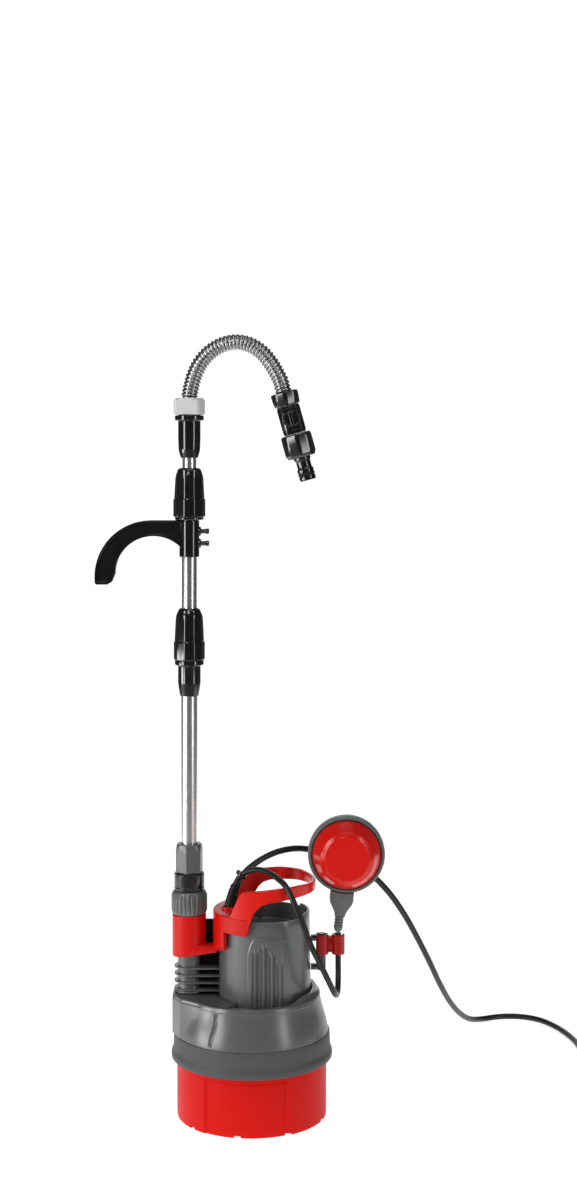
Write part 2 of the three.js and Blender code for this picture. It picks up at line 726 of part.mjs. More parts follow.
// Two-pin plug lying on the floor beside the coil, its pins towards -X.
function mainsPlug() {
  const [x, y] = PLUG_CENTRE;
  const bodyR = 18.5;
  const profile = [[0, -36], [4.6, -36], [6.4, -14], [12, -10], [17.5, 4], [bodyR, 8], [bodyR, 22], [0, 22]];
  const pins = [-9.5, 9.5].map((side) => {
    const pin = new THREE.CylinderGeometry(2.4, 2.4, 21, 8);
    pin.translate(side, 31, 0);
    return solid(pin);
  });
  const body = new THREE.LatheGeometry(profile.map(([r, h]) => new THREE.Vector2(r, h)), 16);
  return join(solid(body), ...pins).rotate([0, 0, 90]).translate([x, y, bodyR]);
}

// Strap round both cables just past their sleeves, square to the way the cables lean.
function cableTie() {
  const half = 1.8;
  const loops = join(
    rod(4.9, -half, half, 12, -1.4, -4.6),
    rod(4.9, -half, half, 12, 1.4, 4.5),
    block(-4.6, 4.6, -4.6, 4.6, -half, half),
    block(-7.6, -4.2, -1.6, 1.6, -half - 0.6, half + 0.6),
  );
  return cut(
    loops.rotate([0, TIE_LEAN, 0]).translate([-10.2, 0, 245.2]),
    tubeAlong(FLOAT_LEAD_ROUTE, FLOAT_LEAD_R + GAP, LEAD_STEPS, 8),
    tubeAlong(MAINS_ROUTE, CORD_R + GAP, CORD_STEPS, 8),
  );
}

// ---- The object --------------------------------------------------------------------------
const group = new THREE.Group();

group.add(
  piece('base_strainer', baseStrainer(), RED),
  piece('strainer_plate', strainerPlate(), BLACK),
  piece('suction_cover', suctionCover(), BLACK),
  piece('lower_housing', lowerHousing(), GREY),
  piece('upper_housing', upperHousing(), GREY),
  piece('outlet_pipe', outletPipe(), GREY),
  piece('outlet_cover', outletCover(), RED),
  piece('carry_handle', carryHandle(), RED),
  piece('cable_gland', cableGland(), RUBBER),
  piece('cable_tie', cableTie(), BLACK),
  piece('float_clip_rail', clipRail(), BLACK),
  piece('float_clip', floatClip(), RED),
  piece('float_lead', tubeAlong(FLOAT_LEAD_ROUTE, FLOAT_LEAD_R, LEAD_STEPS, 8), RUBBER),
  piece('mains_cord', tubeAlong(MAINS_ROUTE, CORD_R, CORD_STEPS, 8), RUBBER),
  piece('cord_coil', cordCoil(), RUBBER),
  piece('mains_plug', mainsPlug(), RUBBER),
);
circlePoints(SCREW_CIRCLE_R, 3).forEach((place, i) => {
  group.add(piece(`base_screw_${i + 1}`, baseScrew(place), STEEL));
});

// Motor, shaft and impeller stand on the motor's axis.
const motor = new THREE.Group();
motor.position.set(MOTOR_X, 0, 0);
motor.add(
  piece('motor_can', motorCan(), STEEL),
  piece('stator_core', sleeve(41.1, 29.8, 92, 128, 20), IRON),
  piece('stator_winding', statorWinding(), COPPER),
  piece('rotor_core', sleeve(25.6, 5.3, 93, 127, 20), IRON),
  piece('motor_shaft', motorShaft(), STEEL),
  piece('upper_bearing', bearing(140.6, 148.8, 11), STEEL),
  piece('lower_bearing', bearing(74.8, 79.6, 13), STEEL),
  piece('housing_oring', sleeve(59.8, 57.4, 70.2, 72.8, 28), RUBBER),
  piece('shaft_seal', sleeve(9.8, 5.4, 70.1, 74.3, 14), RUBBER),
  piece('impeller', impeller(), BLACK),
  piece('impeller_nut', impellerNut(), STEEL),
  piece('run_capacitor', rod(13, 152, 184, 20, 20, 8), LIGHT_GREY),
);
group.add(motor);

const riser = new THREE.Group();
riser.position.set(RISER_X, 0, 0);
riser.add(
  piece('union_nut', unionNut(), GREY),
  piece('riser_adapter', riserAdapter(), BLACK),
  piece('riser_clamp_nut', riserClampNut(), GREY),
  piece('lower_tube', tube(LOWER_TUBE_R, 226.5, LOWER_JOINT_Z - 6.3), ALUMINIUM),
  piece('lower_sleeve', lowerSleeve(), BLACK),
  piece('lower_clamp_nut', clampNut(MIDDLE_TUBE_R, LOWER_JOINT_Z + GAP, 53.3, 16.3, 15.4, 12), BLACK),
  piece('lower_collet', clampCollet(MIDDLE_TUBE_R, 488), LIGHT_GREY),
  piece('middle_tube', tube(MIDDLE_TUBE_R, 280, MIDDLE_JOINT_Z + 12.7), ALUMINIUM),
  piece('middle_sleeve', middleSleeve(), BLACK),
  piece('middle_clamp_nut', clampNut(UPPER_TUBE_R, MIDDLE_JOINT_Z + GAP, 50.7, 16.8, 15.8, 11.6), BLACK),
  piece('middle_collet', clampCollet(UPPER_TUBE_R, 636), LIGHT_GREY),
  piece('hook_clamp', hookClamp(), BLACK),
  piece('hook_screw_upper', hookScrew(SCREW_LEVELS[0]), STEEL),
  piece('hook_screw_lower', hookScrew(SCREW_LEVELS[1]), STEEL),
  piece('upper_tube', tube(UPPER_TUBE_R, 330, 718), ALUMINIUM),
  piece('top_sleeve', topSleeve(), BLACK),
  piece('hose_seal', sleeve(11, 6.8, 734.9, 737.2, 14), RUBBER),
  piece('flex_hose', tubeAlong(HOSE_ROUTE, HOSE_R, 18, 10, 6.8), STEEL),
);
const nut = piece('hose_nut', hoseNut(), LIGHT_GREY);
nut.rotation.z = -10 * Math.PI / 180;
riser.add(nut);
group.add(riser);

// The valve hangs on the hose's end, with its own +Z running down to the nipple.
const valve = new THREE.Group();
valve.position.set(VALVE_X, 0, VALVE_Z);
valve.rotation.y = Math.PI - VALVE_TILT;
valve.add(
  piece('hose_end_cap', valveCap(), BLACK),
  piece('valve_body', valveBody(), BLACK),
  piece('valve_knob', valveKnob(), BLACK),
  piece('outlet_nut', outletNut(), BLACK),
  piece('quick_nipple', quickNipple(), BLACK),
  piece('nipple_oring', sleeve(8.9, 7.7, 86.9, 89.7, 16), RUBBER),
);
group.add(valve);

const float = new THREE.Group();
float.position.set(...FLOAT_PIVOT);
float.rotation.y = FLOAT_LEAN;
const ball = new THREE.SphereGeometry(7, 12, 8);
ball.translate(0, 6, FLOAT_ARM - 16);
float.add(
  piece('float_front', floatFront(), RED),
  piece('float_rear', floatRear(), GREY),
  piece('float_ball', solid(ball), STEEL),
  piece('float_boot', floatBoot(), GREY),
);
group.add(float);

export default group;
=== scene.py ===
"""Looks for the submersible rain-barrel pump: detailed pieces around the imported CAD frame.
Shapes are written in millimetres in the row frame and turned into metres as each mesh is made."""

import json
from math import cos, pi, radians, sin, sqrt, tan

import bmesh
import bpy
from mathutils import Matrix, Vector

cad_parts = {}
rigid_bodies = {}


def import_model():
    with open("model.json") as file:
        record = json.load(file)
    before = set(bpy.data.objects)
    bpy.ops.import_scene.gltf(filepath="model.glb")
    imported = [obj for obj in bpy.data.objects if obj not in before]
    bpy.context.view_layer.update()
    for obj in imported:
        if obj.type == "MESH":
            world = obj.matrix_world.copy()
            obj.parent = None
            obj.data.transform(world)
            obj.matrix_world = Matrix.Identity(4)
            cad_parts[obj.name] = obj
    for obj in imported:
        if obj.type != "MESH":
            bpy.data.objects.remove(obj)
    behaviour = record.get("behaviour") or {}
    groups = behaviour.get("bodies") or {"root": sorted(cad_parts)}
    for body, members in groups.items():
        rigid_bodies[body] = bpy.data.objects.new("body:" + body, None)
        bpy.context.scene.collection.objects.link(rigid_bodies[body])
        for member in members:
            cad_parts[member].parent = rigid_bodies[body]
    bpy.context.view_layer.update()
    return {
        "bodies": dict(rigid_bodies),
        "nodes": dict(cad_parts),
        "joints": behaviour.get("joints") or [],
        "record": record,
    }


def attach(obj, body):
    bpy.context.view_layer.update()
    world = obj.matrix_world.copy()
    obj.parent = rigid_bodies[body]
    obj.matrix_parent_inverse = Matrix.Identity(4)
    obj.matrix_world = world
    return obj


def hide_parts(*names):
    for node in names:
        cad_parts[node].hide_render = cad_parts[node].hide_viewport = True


for leftover in list(bpy.data.objects):
    bpy.data.objects.remove(leftover)
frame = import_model()
MM = 0.001
TAU = 2 * pi
COAT_ROUGHNESS = 0.08
GRAIN_DEPTH = 0.0006
GRAIN_FINENESS = 20

# ---- Sizes, in millimetres, as the CAD has them ----
MOTOR_X = 13.3
RISER_X = -65.0
RAIL_X = 72.3
VALVE_POINT = (33.0, 0.0, 747.0)
VALVE_TILT = radians(15.6)
FLOAT_PIVOT = (89.6, 0.0, 191.0)
FLOAT_LEAN = radians(6.4)
FLOAT_ARM = 76.5
COIL_CENTRE = (452.0, 150.0)
PLUG_CENTRE = (448.0, 258.0, 18.5)
GLANDS = ((-21.5, 4.6), (-24, -4.6))
GLAND_BEND_FROM = 205.0
GLAND_BEND_R = 75.0
SCREW_CIRCLE_R = 55
SKIRT_TOP = 86.4
SHELF_SLOPE = 0.14
HOOK_SCREWS = {"upper": 602.3, "lower": 589.8}
CORD_D = 6.5
LEAD_D = 6.0

# ---- Camera ----
scene = bpy.context.scene
camera_data = bpy.data.cameras.new("camera")
camera = bpy.data.objects.new("camera", camera_data)
scene.collection.objects.link(camera)
camera.location = (0.038, -1.870, 0.6867)
camera.rotation_euler = (pi / 2, 0, 0)
camera_data.sensor_fit = "VERTICAL"
camera_data.sensor_height = 36
camera_data.lens = 54
camera_data.shift_y = -0.125
camera_data.clip_end = 50
scene.camera = camera


# ---- Paths ----
def smooth_path(points, spacing):
    """Centripetal Catmull-Rom through the points, sampled about every spacing millimetres."""
    def blend(p, q, start, end, t):
        return p * ((end - t) / (end - start)) + q * ((t - start) / (end - start))

    pts = [Vector(p) for p in points]
    pts = [2 * pts[0] - pts[1]] + pts + [2 * pts[-1] - pts[-2]]
    out = []
    for p0, p1, p2, p3 in zip(pts, pts[1:], pts[2:], pts[3:]):
        t1 = (p1 - p0).length ** 0.5
        t2 = t1 + (p2 - p1).length ** 0.5
        t3 = t2 + (p3 - p2).length ** 0.5
        count = max(1, round((p2 - p1).length / spacing))
        for k in range(count):
            t = t1 + (t2 - t1) * k / count
            middle = blend(p1, p2, t1, t2, t)
            before, after = blend(p0, p1, 0, t1, t), blend(p2, p3, t2, t3, t)
            out.append(blend(blend(before, middle, 0, t2, t), blend(middle, after, t1, t3, t), t1, t2, t))
    out.append(pts[-2])
    return out


def node(tree, kind, values=None, **settings):
    """A new shader node with its settings and the values of its sockets."""
    made = tree.nodes.new("ShaderNode" + kind)
    for key, value in settings.items():
        setattr(made, key, value)
    for key, value in (values or {}).items():
        made.inputs[key].default_value = value
    return made


def material(name, color, rough, metal=0.0, rough_var=0.06, color_var=0.04, scale=60.0, bump=0.02,
             stretch=(1, 1, 1), ior=1.5, specular=0.5):
    """A Principled surface whose colour, roughness and relief vary with noise in object space."""
    mat = bpy.data.materials.new(name)
    mat.use_nodes = True
    tree = mat.node_tree
    link = tree.links.new
    shader = tree.nodes["Principled BSDF"].inputs
    shader["Metallic"].default_value = metal
    shader["Coat Roughness"].default_value = COAT_ROUGHNESS
    shader["IOR"].default_value = ior
    shader["Specular IOR Level"].default_value = specular
    coords = node(tree, "TexCoord")
    mapping = node(tree, "Mapping", {"Scale": stretch})
    noise = node(tree, "TexNoise", {"Scale": scale, "Detail": 5})
    tint = node(tree, "Mix", {"A": (*[c * (1 - color_var) for c in color], 1),
        "B": (*[min(1, c * (1 + color_var)) for c in color], 1)}, data_type="RGBA")
    spread = node(tree, "MapRange",
        {"From Min": 0.2, "From Max": 0.8, "To Min": max(0.02, rough - rough_var),
        "To Max": rough + rough_var}, interpolation_type="SMOOTHSTEP")
    grain = node(tree, "TexNoise", {"Scale": scale * GRAIN_FINENESS, "Detail": 3})
    relief = node(tree, "Bump", {"Strength": bump, "Distance": GRAIN_DEPTH})
    link(coords.outputs["Object"], mapping.inputs["Vector"])
    link(mapping.outputs["Vector"], noise.inputs["Vector"])
    link(noise.outputs["Fac"], tint.inputs["Factor"])
    link(tint.outputs["Result"], shader["Base Color"])
    link(noise.outputs["Fac"], spread.inputs["Value"])
    link(spread.outputs["Result"], shader["Roughness"])
    link(mapping.outputs["Vector"], grain.inputs["Vector"])
    link(grain.outputs["Fac"], relief.inputs["Height"])
    link(relief.outputs["Normal"], shader["Normal"])
    return mat


RED = material("red_plastic", (0.68, 0.006, 0.002), 0.32, rough_var=0.05, scale=35, bump=0.04, ior=1.42,
    specular=0.35)
RED_BASE = material("red_base_plastic", (0.62, 0.004, 0.001), 0.45, rough_var=0.05, scale=35,
    bump=0.04, ior=1.42, specular=0.16)
RED_GLOSS = material("red_gloss", (0.78, 0.009, 0.004), 0.22, rough_var=0.04, scale=30,
    ior=1.45)
# A darker copy of the red for the float clip: painted shade.
RED_CLIP_SHADE = material("red_clip_painted_shade", (0.42, 0.006, 0.004), 0.25, rough_var=0.04, scale=40,
    bump=0.03, ior=1.45)
GREY = material("grey_plastic", (0.104, 0.109, 0.109), 0.28, rough_var=0.012, color_var=0.02, scale=25,
    bump=0.002, specular=0.85)
# A darker, rougher copy of the grey for the bell's skirt: the darker colour is painted shade on the skirt,
# which faces away from the lights.
GREY_SKIRT_SHADE = material("grey_skirt_painted_shade", (0.085, 0.088, 0.09), 0.5, rough_var=0.05,
    scale=25, bump=0.05, specular=0.2)
GREY_FLOAT = material("float_grey_plastic", (0.15, 0.152, 0.152), 0.42, scale=40, bump=0.08)
LIGHT_GREY = material("light_grey_plastic", (0.74, 0.74, 0.73), 0.40, bump=0.03)
BLACK = material("black_plastic", (0.005, 0.005, 0.005), 0.13, rough_var=0.03, scale=45, bump=0.015,
    ior=1.55, specular=0.85)
# Near-black, matte and almost without sheen: painted shade for the dark gap between the outlet pipe and the
# motor housing.
SHADE = material("painted_shade_black", (0.004, 0.004, 0.004), 0.6, rough_var=0.05, scale=45,
    bump=0.05, specular=0.1)
RUBBER = material("seal_rubber", (0.012, 0.012, 0.012), 0.45, rough_var=0.08, scale=90, bump=0.12, ior=1.4)
CABLE = material("cable_rubber", (0.012, 0.012, 0.013), 0.33, scale=80, bump=0.06, ior=1.42)
ALUMINIUM = material("aluminium_tube", (0.90, 0.905, 0.91), 0.27, metal=1, rough_var=0.015, color_var=0.02,
    scale=70, bump=0.001, stretch=(1, 1, 0.03))
HOSE = material("corrugated_steel", (0.50, 0.50, 0.495), 0.22, metal=1, rough_var=0.03, scale=80,
    bump=0.002)
STEEL = material("steel", (0.74, 0.74, 0.73), 0.30, metal=1, rough_var=0.04, scale=80, bump=0.004)
BRIGHT = material("bright_steel", (0.64, 0.64, 0.65), 0.25, metal=1, scale=90)
DARK_STEEL = material("dark_steel", (0.10, 0.10, 0.105), 0.28, metal=1, scale=90)
IRON = material("motor_iron", (0.16, 0.165, 0.17), 0.5, metal=1, scale=40, stretch=(0.2, 0.2, 14), bump=0.3)
COPPER = material("copper_winding", (0.55, 0.21, 0.08), 0.35, metal=1, scale=30, stretch=(0.4, 0.4, 12),
    bump=0.4)


# ---- Meshes ----
def smin(a, b, k):
    """The lesser of a and b, with the corner between them rounded over k."""
    h = max(k - abs(a - b), 0) / k if k > 0 else 0
    return min(a, b) - h * h * k / 4


def smax(a, b, k):
    return -smin(-a, -b, k)


def step(x, low, high):
    """0 below low, 1 above high, smooth between."""
    t = min(1, max(0, (x - low) / (high - low)))
    return t * t * (3 - 2 * t)


def wrap(angle):
    """angle brought into -pi..pi"""
    return (angle + pi) % TAU - pi


def in_order(angles):
    return sorted(set(round(a % TAU, 5) for a in angles))


def flats(sides, apothem, turn=0.0, round_mm=1.0):
    """Radius of a regular polygon with rounded corners, as a function of angle."""
    pitch = TAU / sides
    corner = apothem / cos(pitch / 2)

    def radius(angle):
        a = (angle - turn + pitch / 2) % pitch - pitch / 2
        return smin(apothem / cos(a), corner - 0.35 * round_mm, round_mm)
    return radius


def rounded(profile, radius, steps=4):
    """A closed outline with its corners turned into arcs. A point may carry its own radius."""
    out = []
    count = len(profile)
    for i, point in enumerate(profile):
        p = Vector(point[:2])
        r = point[2] if len(point) > 2 else radius
        a = Vector(profile[i - 1][:2]) - p
        b = Vector(profile[(i + 1) % count][:2]) - p
        plain = r <= 0 or a.length < 1e-6 or b.length < 1e-6 or p.x < 1e-6
        half = 0 if plain else a.angle(b) / 2
        if plain or half > radians(88):
            out.append(tuple(p))
            continue
        cut = min(r / tan(half), 0.45 * a.length, 0.45 * b.length)
        start, end = p + a.normalized() * cut, p + b.normalized() * cut
        for k in range(steps + 1):
            t = k / steps
            out.append(tuple(start * (1 - t) ** 2 + p * 2 * t * (1 - t) + end * t ** 2))
    return out


def bridge(bm, low, high):
    """Faces between two rings, either of which may be a single vertex."""
    count = max(len(low), len(high))
    for i in range(count if count > 1 else 0):
        j = (i + 1) % count
        if len(low) == 1:
            bm.faces.new((low[0], high[i], high[j]))
        elif len(high) == 1:
            bm.faces.new((low[i], low[j], high[0]))
        else:
            bm.faces.new((low[i], low[j], high[j], high[i]))


def closed(bm):
    bmesh.ops.recalc_face_normals(bm, faces=bm.faces)
    return bm


def loft(levels, segs=96, angles=None):
    """A closed surface from rings of radius and height. Either may be a function of angle."""
    bm = bmesh.new()
    angles = angles or [TAU * i / segs for i in range(segs)]
    rings = []
    for r, z in levels:
        ring = [(r(a) if callable(r) else r, z(a) if callable(z) else z, a) for a in angles]
        if not callable(r) and r < 1e-6:
            ring = ring[:1]
        rings.append([bm.verts.new((rr * cos(a), rr * sin(a), zz)) for rr, zz, a in ring])
    for low, high in zip(rings, rings[1:] + rings[:1]):
        bridge(bm, low, high)
    return closed(bm)


def lathe(profile, radius=0.5, segs=72, steps=4):
    return loft(rounded(profile, radius, steps), segs)


def bevelled(bm, edges, width):
    if width:
        bmesh.ops.bevel(bm, geom=list(edges), offset=width, segments=3, profile=0.5, affect="EDGES",
            clamp_overlap=True)
    return bm


def prism(outline, z0, z1, bevel=0.6, radius=0.0, steps=3):
    """An outline in XY, raised from z0 to z1, its rims bevelled."""
    if radius:
        outline = rounded_plan(outline, radius, steps)
    bm = bmesh.new()
    low = [bm.verts.new((x, y, z0)) for x, y in outline]
    high = [bm.verts.new((x, y, z1)) for x, y in outline]
    bm.faces.new(low[::-1])
    bm.faces.new(high)
    bridge(bm, low, high)
    closed(bm)
    return bevelled(bm, [e for e in bm.edges if abs(e.verts[0].co.z - e.verts[1].co.z) < 1e-6], bevel)


def rounded_plan(outline, radius, steps):
    """rounded() for an outline that may cross the axis."""
    shift = 10000.0
    return [(x - shift, y) for x, y in rounded([(x + shift, y) for x, y in outline], radius, steps)]


def box(x0, x1, y0, y1, z0, z1, bevel=0.5):
    bm = bmesh.new()
    bmesh.ops.create_cube(bm, size=1)
    for v in bm.verts:
        v.co = ((x0, x1)[v.co.x > 0], (y0, y1)[v.co.y > 0], (z0, z1)[v.co.z > 0])
    return bevelled(bm, bm.edges, bevel)


def frames(points):
    """A frame at each point of a path that doesn't twist along it."""
    out = []
    side = None
    for i, p in enumerate(points):
        ahead = (points[min(i + 1, len(points) - 1)] - points[max(i - 1, 0)]).normalized()
        if side is None:
            side = ahead.orthogonal().normalized()
            if abs(ahead.y) < 0.9:
                side = Vector((0, 1, 0))
        side = (side - ahead * side.dot(ahead)).normalized()
        out.append((p, side, ahead.cross(side)))
    return out


def sweep(points, radii, sides, bore):
    """A pipe along points, with an outer radius for each point and a round bore."""
    bm = bmesh.new()

    def ring(frame, r):
        p, u, v = frame
        turns = [TAU * k / sides for k in range(sides)]
        return [bm.verts.new(p + (u * cos(a) + v * sin(a)) * r) for a in turns]

    rings = [ring(f, r) for f, r in zip(frames(points), radii)]
    rings += [ring(f, bore) for f in reversed(frames(points))]
    for low, high in zip(rings, rings[1:] + rings[:1]):
        bridge(bm, low, high)
    return closed(bm)


def at(x=0.0, y=0.0, z=0.0):
    return Matrix.Translation((x, y, z))


def spin(angle, axis="Z"):
    return Matrix.Rotation(angle, 4, axis)


MOTOR, RISER = at(MOTOR_X), at(RISER_X)


def moved(bm, place):
    bm.transform(place)
    return bm


def upright(bm):
    """Z becomes -Y: what was drawn in XY stands up in XZ, and what was turned about Z faces the front."""
    return moved(bm, spin(radians(90), "X"))


def cylinder(r, z0, z1, segs=64, edge=0.0):
    return lathe([(0, z0), (r, z0), (r, z1), (0, z1)], edge, segs)


def arc(cx, r, start, end, count):
    """Points round (cx, 0) from one angle to another, in degrees."""
    turns = [radians(start + (end - start) * i / count) for i in range(count + 1)]
    return [(cx + r * cos(a), r * sin(a)) for a in turns]


def merge(*parts):
    """Several meshes in one, without joining their surfaces."""
    whole = bmesh.new()
    for part in parts:
        mesh = bpy.data.meshes.new("part")
        part.to_mesh(mesh)
        part.free()
        whole.from_mesh(mesh)
        bpy.data.meshes.remove(mesh)
    return whole


def linked(name, data):
    obj = bpy.data.objects.new(name, data)
    scene.collection.objects.link(obj)
    return obj


def mesh_object(name, bm):
    """An object from a mesh in millimetres."""
    bm.transform(Matrix.Scale(MM, 4))
    mesh = bpy.data.meshes.new(name)
    bm.to_mesh(mesh)
    bm.free()
    return linked(name, mesh)


def shade(obj, sharp):
    obj.data.shade_smooth()
    obj.data.set_sharp_from_angle(angle=radians(sharp))


def place_piece(obj, mat, nodes, body):
    """The piece takes its material, rides on body and stands for the CAD nodes, which it hides."""
    obj.data.materials.append(mat)
    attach(obj, body)
    if nodes:
        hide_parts(*nodes)
    return obj


def make(name, bm, mat, stands_for=None, body="pump", place=None, sharp=32):
    """A piece from a mesh in millimetres, its edges sharp where they turn more than sharp degrees."""
    if place is not None:
        bm.transform(place)
    obj = mesh_object(name, bm)
    shade(obj, sharp)
    return place_piece(obj, mat, [stands_for] if stands_for else [], body)


def carve(target, cutters):
    """Cuts the cutters out of the target piece, then drops them."""
    for bm in cutters:
        cutter = mesh_object("cutter", bm)
        mesh = cutter.data
        modifier = target.modifiers.new("carve", "BOOLEAN")
        modifier.operation = "DIFFERENCE"
        modifier.solver = "EXACT"
        modifier.object = cutter
        bpy.context.view_layer.update()
        result = bpy.data.meshes.new_from_object(target.evaluated_get(bpy.context.evaluated_depsgraph_get()))
        target.modifiers.clear()
        old = target.data
        target.data = result
        result.name = target.name
        bpy.data.meshes.remove(old)
        bpy.data.objects.remove(cutter)
        bpy.data.meshes.remove(mesh)
    shade(target, 32)


def curve_tube(name, points, diameter, nodes):
    """A round tube along the points, as a curve whose own line is the centreline."""
    data = bpy.data.curves.new(name, "CURVE")
    data.dimensions = "3D"
    data.bevel_depth = diameter / 2 * MM
    data.bevel_resolution = 5
    data.use_fill_caps = True
    spline = data.splines.new("POLY")
    spline.points.add(len(points) - 1)
    for target, p in zip(spline.points, points):
        target.co = (*(p * MM), 1)
    spline.use_smooth = True
    return place_piece(linked(name, data), CABLE, nodes, "pump")


# ---- Cords ----
FLOAT_LEAD_ROUTE = [(-17.15, -4.6, 236.3), (-15.6, -4.6, 239.7), (-11.7, -4.6, 245.3), (-5.6, -7.4, 250.3),
    (2.4, -13, 253.6), (11, -20.5, 254.9), (20.5, -31, 253.4), (29.8, -42.5, 249.3), (34, -48.3, 246.6),
    (38.4, -54, 240.8), (43.2, -58.6, 231.8), (47.8, -61.5, 221.9), (52.3, -62.5, 210.9),
    (57.5, -62, 196.7), (62.5, -60.2, 184), (68.2, -57.6, 172.6), (73.8, -54.6, 160.4), (79.6, -50, 147.4),
    (83.7, -43.3, 137.4), (86.3, -33, 130.7), (88, -21.7, 128.9), (89.1, -10.4, 133.2), (89.55, -3, 142),
    (89.6, 0, 153.5), (89.6, 0, 164), (89.6, 0, 185.6)]
MAINS_ROUTE = [(-14.65, 4.6, 236.3), (-12.9, 4.5, 239.8), (-8.6, 4.5, 245.7), (-1.6, 7.6, 251.6),
    (9.1, 14.5, 257.9), (25.7, 26, 263.3), (45.1, 36, 264.8), (62, 42.5, 262), (80, 48, 256.2),
    (103, 53.5, 246.4), (126, 60, 231.8), (146, 70, 210), (164, 84, 182), (180, 103, 150.6),
    (195, 128, 117.5), (209, 160, 84), (223, 196, 54), (238, 233, 29), (254, 266, 11.5), (271, 290, 4.2),
    (293, 301, 3.4), (317, 301, 3.4), (338, 289, 3.4), (353, 266, 3.4), (363.5, 237, 3.4),
    (369.5, 208, 3.4), (372.3, 174, 3.4)]
COIL_EXIT = [(493.1, 147.8, 32), (493.5, 161.1, 35.3), (496.1, 173.5, 36.8), (502.3, 187.9, 36.8),
    (507.6, 205.2, 35), (512, 218, 29.6), (513.5, 230, 24.2), (511.3, 241, 20.6), (505, 250, 18.9),
    (495.4, 256, 18.5)]


def coil_path():
    """The spare cord in flat spirals, one layer on another, wound in from the outside first."""
    pitch, layers, outer, inner = 6.62, 5, 74.6, 42.2
    turns = (outer - inner) / pitch
    per_turn, rise = 36, 0.3
    points = []
    for k in range(int(turns * layers * per_turn) + 1):
        t = k / per_turn
        layer = min(int(t / turns), layers - 1)
        along = t - layer * turns
        inward = layer % 2 == 0
        r = outer - pitch * along if inward else inner + pitch * along
        z = 3.4 + pitch * layer
        if layer and along < rise:
            z -= pitch * (1 - step(along, 0, rise))
            r = (outer if inward else inner) + (1 if inward else -1) * pitch * along * (1 - along / rise)
        a = pi + TAU * t
        points.append(Vector((COIL_CENTRE[0] + r * cos(a), COIL_CENTRE[1] + r * sin(a), z)))
    return points


def mains_path():
    """The mains cord from its gland to the floor, through the coil and on to the plug."""
    coil = coil_path()
    first = smooth_path(MAINS_ROUTE + [coil[0], coil[2]], 6.0)
    cut = next(i for i, p in enumerate(first) if (p - coil[0]).length < 0.01)
    entry = Vector((PLUG_CENTRE[0] + 36, PLUG_CENTRE[1], PLUG_CENTRE[2]))
    tail = smooth_path([coil[-2], coil[-1], *COIL_EXIT, entry, entry - Vector((4, 0, 0))], 6.0)
    return first[:cut] + coil + tail[2:]


mains_cord = curve_tube("mains_cable", mains_path(), CORD_D, ["mains_cord", "cord_coil"])
float_lead = curve_tube("float_cable", smooth_path(FLOAT_LEAD_ROUTE, 4.0), LEAD_D, ["float_lead"])


# ---- Mains plug ----
def mains_plug():
    """Round two-pin plug with a grip waist, earth clips and a tapered strain relief."""
    place = Matrix.Translation(PLUG_CENTRE) @ spin(radians(-90), "Y")
    profile = [(0, -36), (3.9, -36)]
    for k in range(5):
        z = -35.2 + 4.1 * k
        r = 4.5 + 0.42 * k
        profile += [(r, z), (r, z + 2.1), (r - 0.8, z + 2.6), (r - 0.8, z + 3.5)]
    profile += [(6.4, -14), (12, -10), (14.6, -4), (17.5, 4), (18.5, 8), (18.5, 21.2), (17.7, 22), (0, 22)]
    grips = [moved(box(15.6, 18.3, -0.9, 0.9, 6.5, 20.5, 0.5), spin(TAU * k / 12))
        for k in range(12) if k % 6]
    make("plug_body", merge(lathe(profile, 0.5, 72, 3), *grips), CABLE, "mains_plug", place=place)
    pin = [(0, 21.5), (2.4, 21.5), (2.4, 39.6), (1.5, 41.4), (0, 41.5)]
    make("plug_pins", merge(*[moved(lathe(pin, 0.3, 28), at(0, y)) for y in (-9.5, 9.5)]), BRIGHT,
        place=place)
    clips = [box(-2, 2, s * 16.2 - 0.5, s * 16.2 + 0.5, 12, 22.3, 0.3) for s in (-1, 1)]
    make("plug_earth_clips", merge(*clips), BRIGHT, place=place)


mains_plug()


# ---- Base ----
def base_strainer():
    """Red base: a wall with three wide sunk panels between standing ones, and inlet notches."""
    standing, sunk, bore = 77.5, 76.1, 74.5
    half, ramp = radians(32), radians(1.3)
    groove, groove_half = 0.5, radians(0.75)
    middles = [radians(a) for a in (-94, 26, 146)]

    def panel(a):
        """1 on a sunk panel, 0 on a standing one"""
        return max(1 - step(abs(wrap(a - m)), half, half + ramp) for m in middles)

    def skin(z):
        def radius(a):
            sink = (standing - sunk) * panel(a) * (1 - step(z, 54.2, 55.6))
            for m in middles:
                off = abs(abs(wrap(a - m)) - half + groove_half)
                side = (1 - step(off, 0.3 * groove_half, groove_half)) * (1 - step(z, 54.2, 55.6))
                top = step(z, 53.0, 53.6) * (1 - step(z, 54.2, 55.0)) if abs(wrap(a - m)) < half else 0
                sink += groove * max(side, top)
            return standing - 0.25 * step(10 - z, 0, 10) - sink
        return radius

    angles = []
    for m in middles:
        angles += [m - half - ramp + 2 * (half + ramp) * k / 40 for k in range(41)]
        rest = TAU / 3 - 2 * (half + ramp)
        angles += [m - half - ramp - 0.03 - (rest - 0.06) * k / 20 for k in range(21)]
        for side in (-1, 1):
            angles += [m + side * (half - 2 * groove_half + (ramp + 2 * groove_half) * k / 12)
                for k in range(13)]
    angles = in_order(angles)
    levels = [(bore, 0.3), (bore + 0.3, 0)]
    levels += [(lambda a, f=skin(0): f(a) - 0.5, 0), (lambda a, f=skin(0): f(a) - 0.12, 0.3)]
    levels += [(skin(z), z) for z in (1.0, 6, 20, 40, 52, 53.2, 53.5, 53.9, 54.2, 54.6, 55.0, 55.4, 55.8,
        60, 65)]
    levels += [(standing - 0.8, 66), (bore + 0.3, 66), (bore, 65)]
    obj = make("base_wall", loft(levels, angles=angles), RED_BASE, "base_strainer")
    carve(obj, [moved(box(-8, 8, -3.5, 3.5, -4, 2.2, 0.6), spin(TAU * (k + 0.5) / 9) @ at(standing - 1))
        for k in range(9)])


base_strainer()


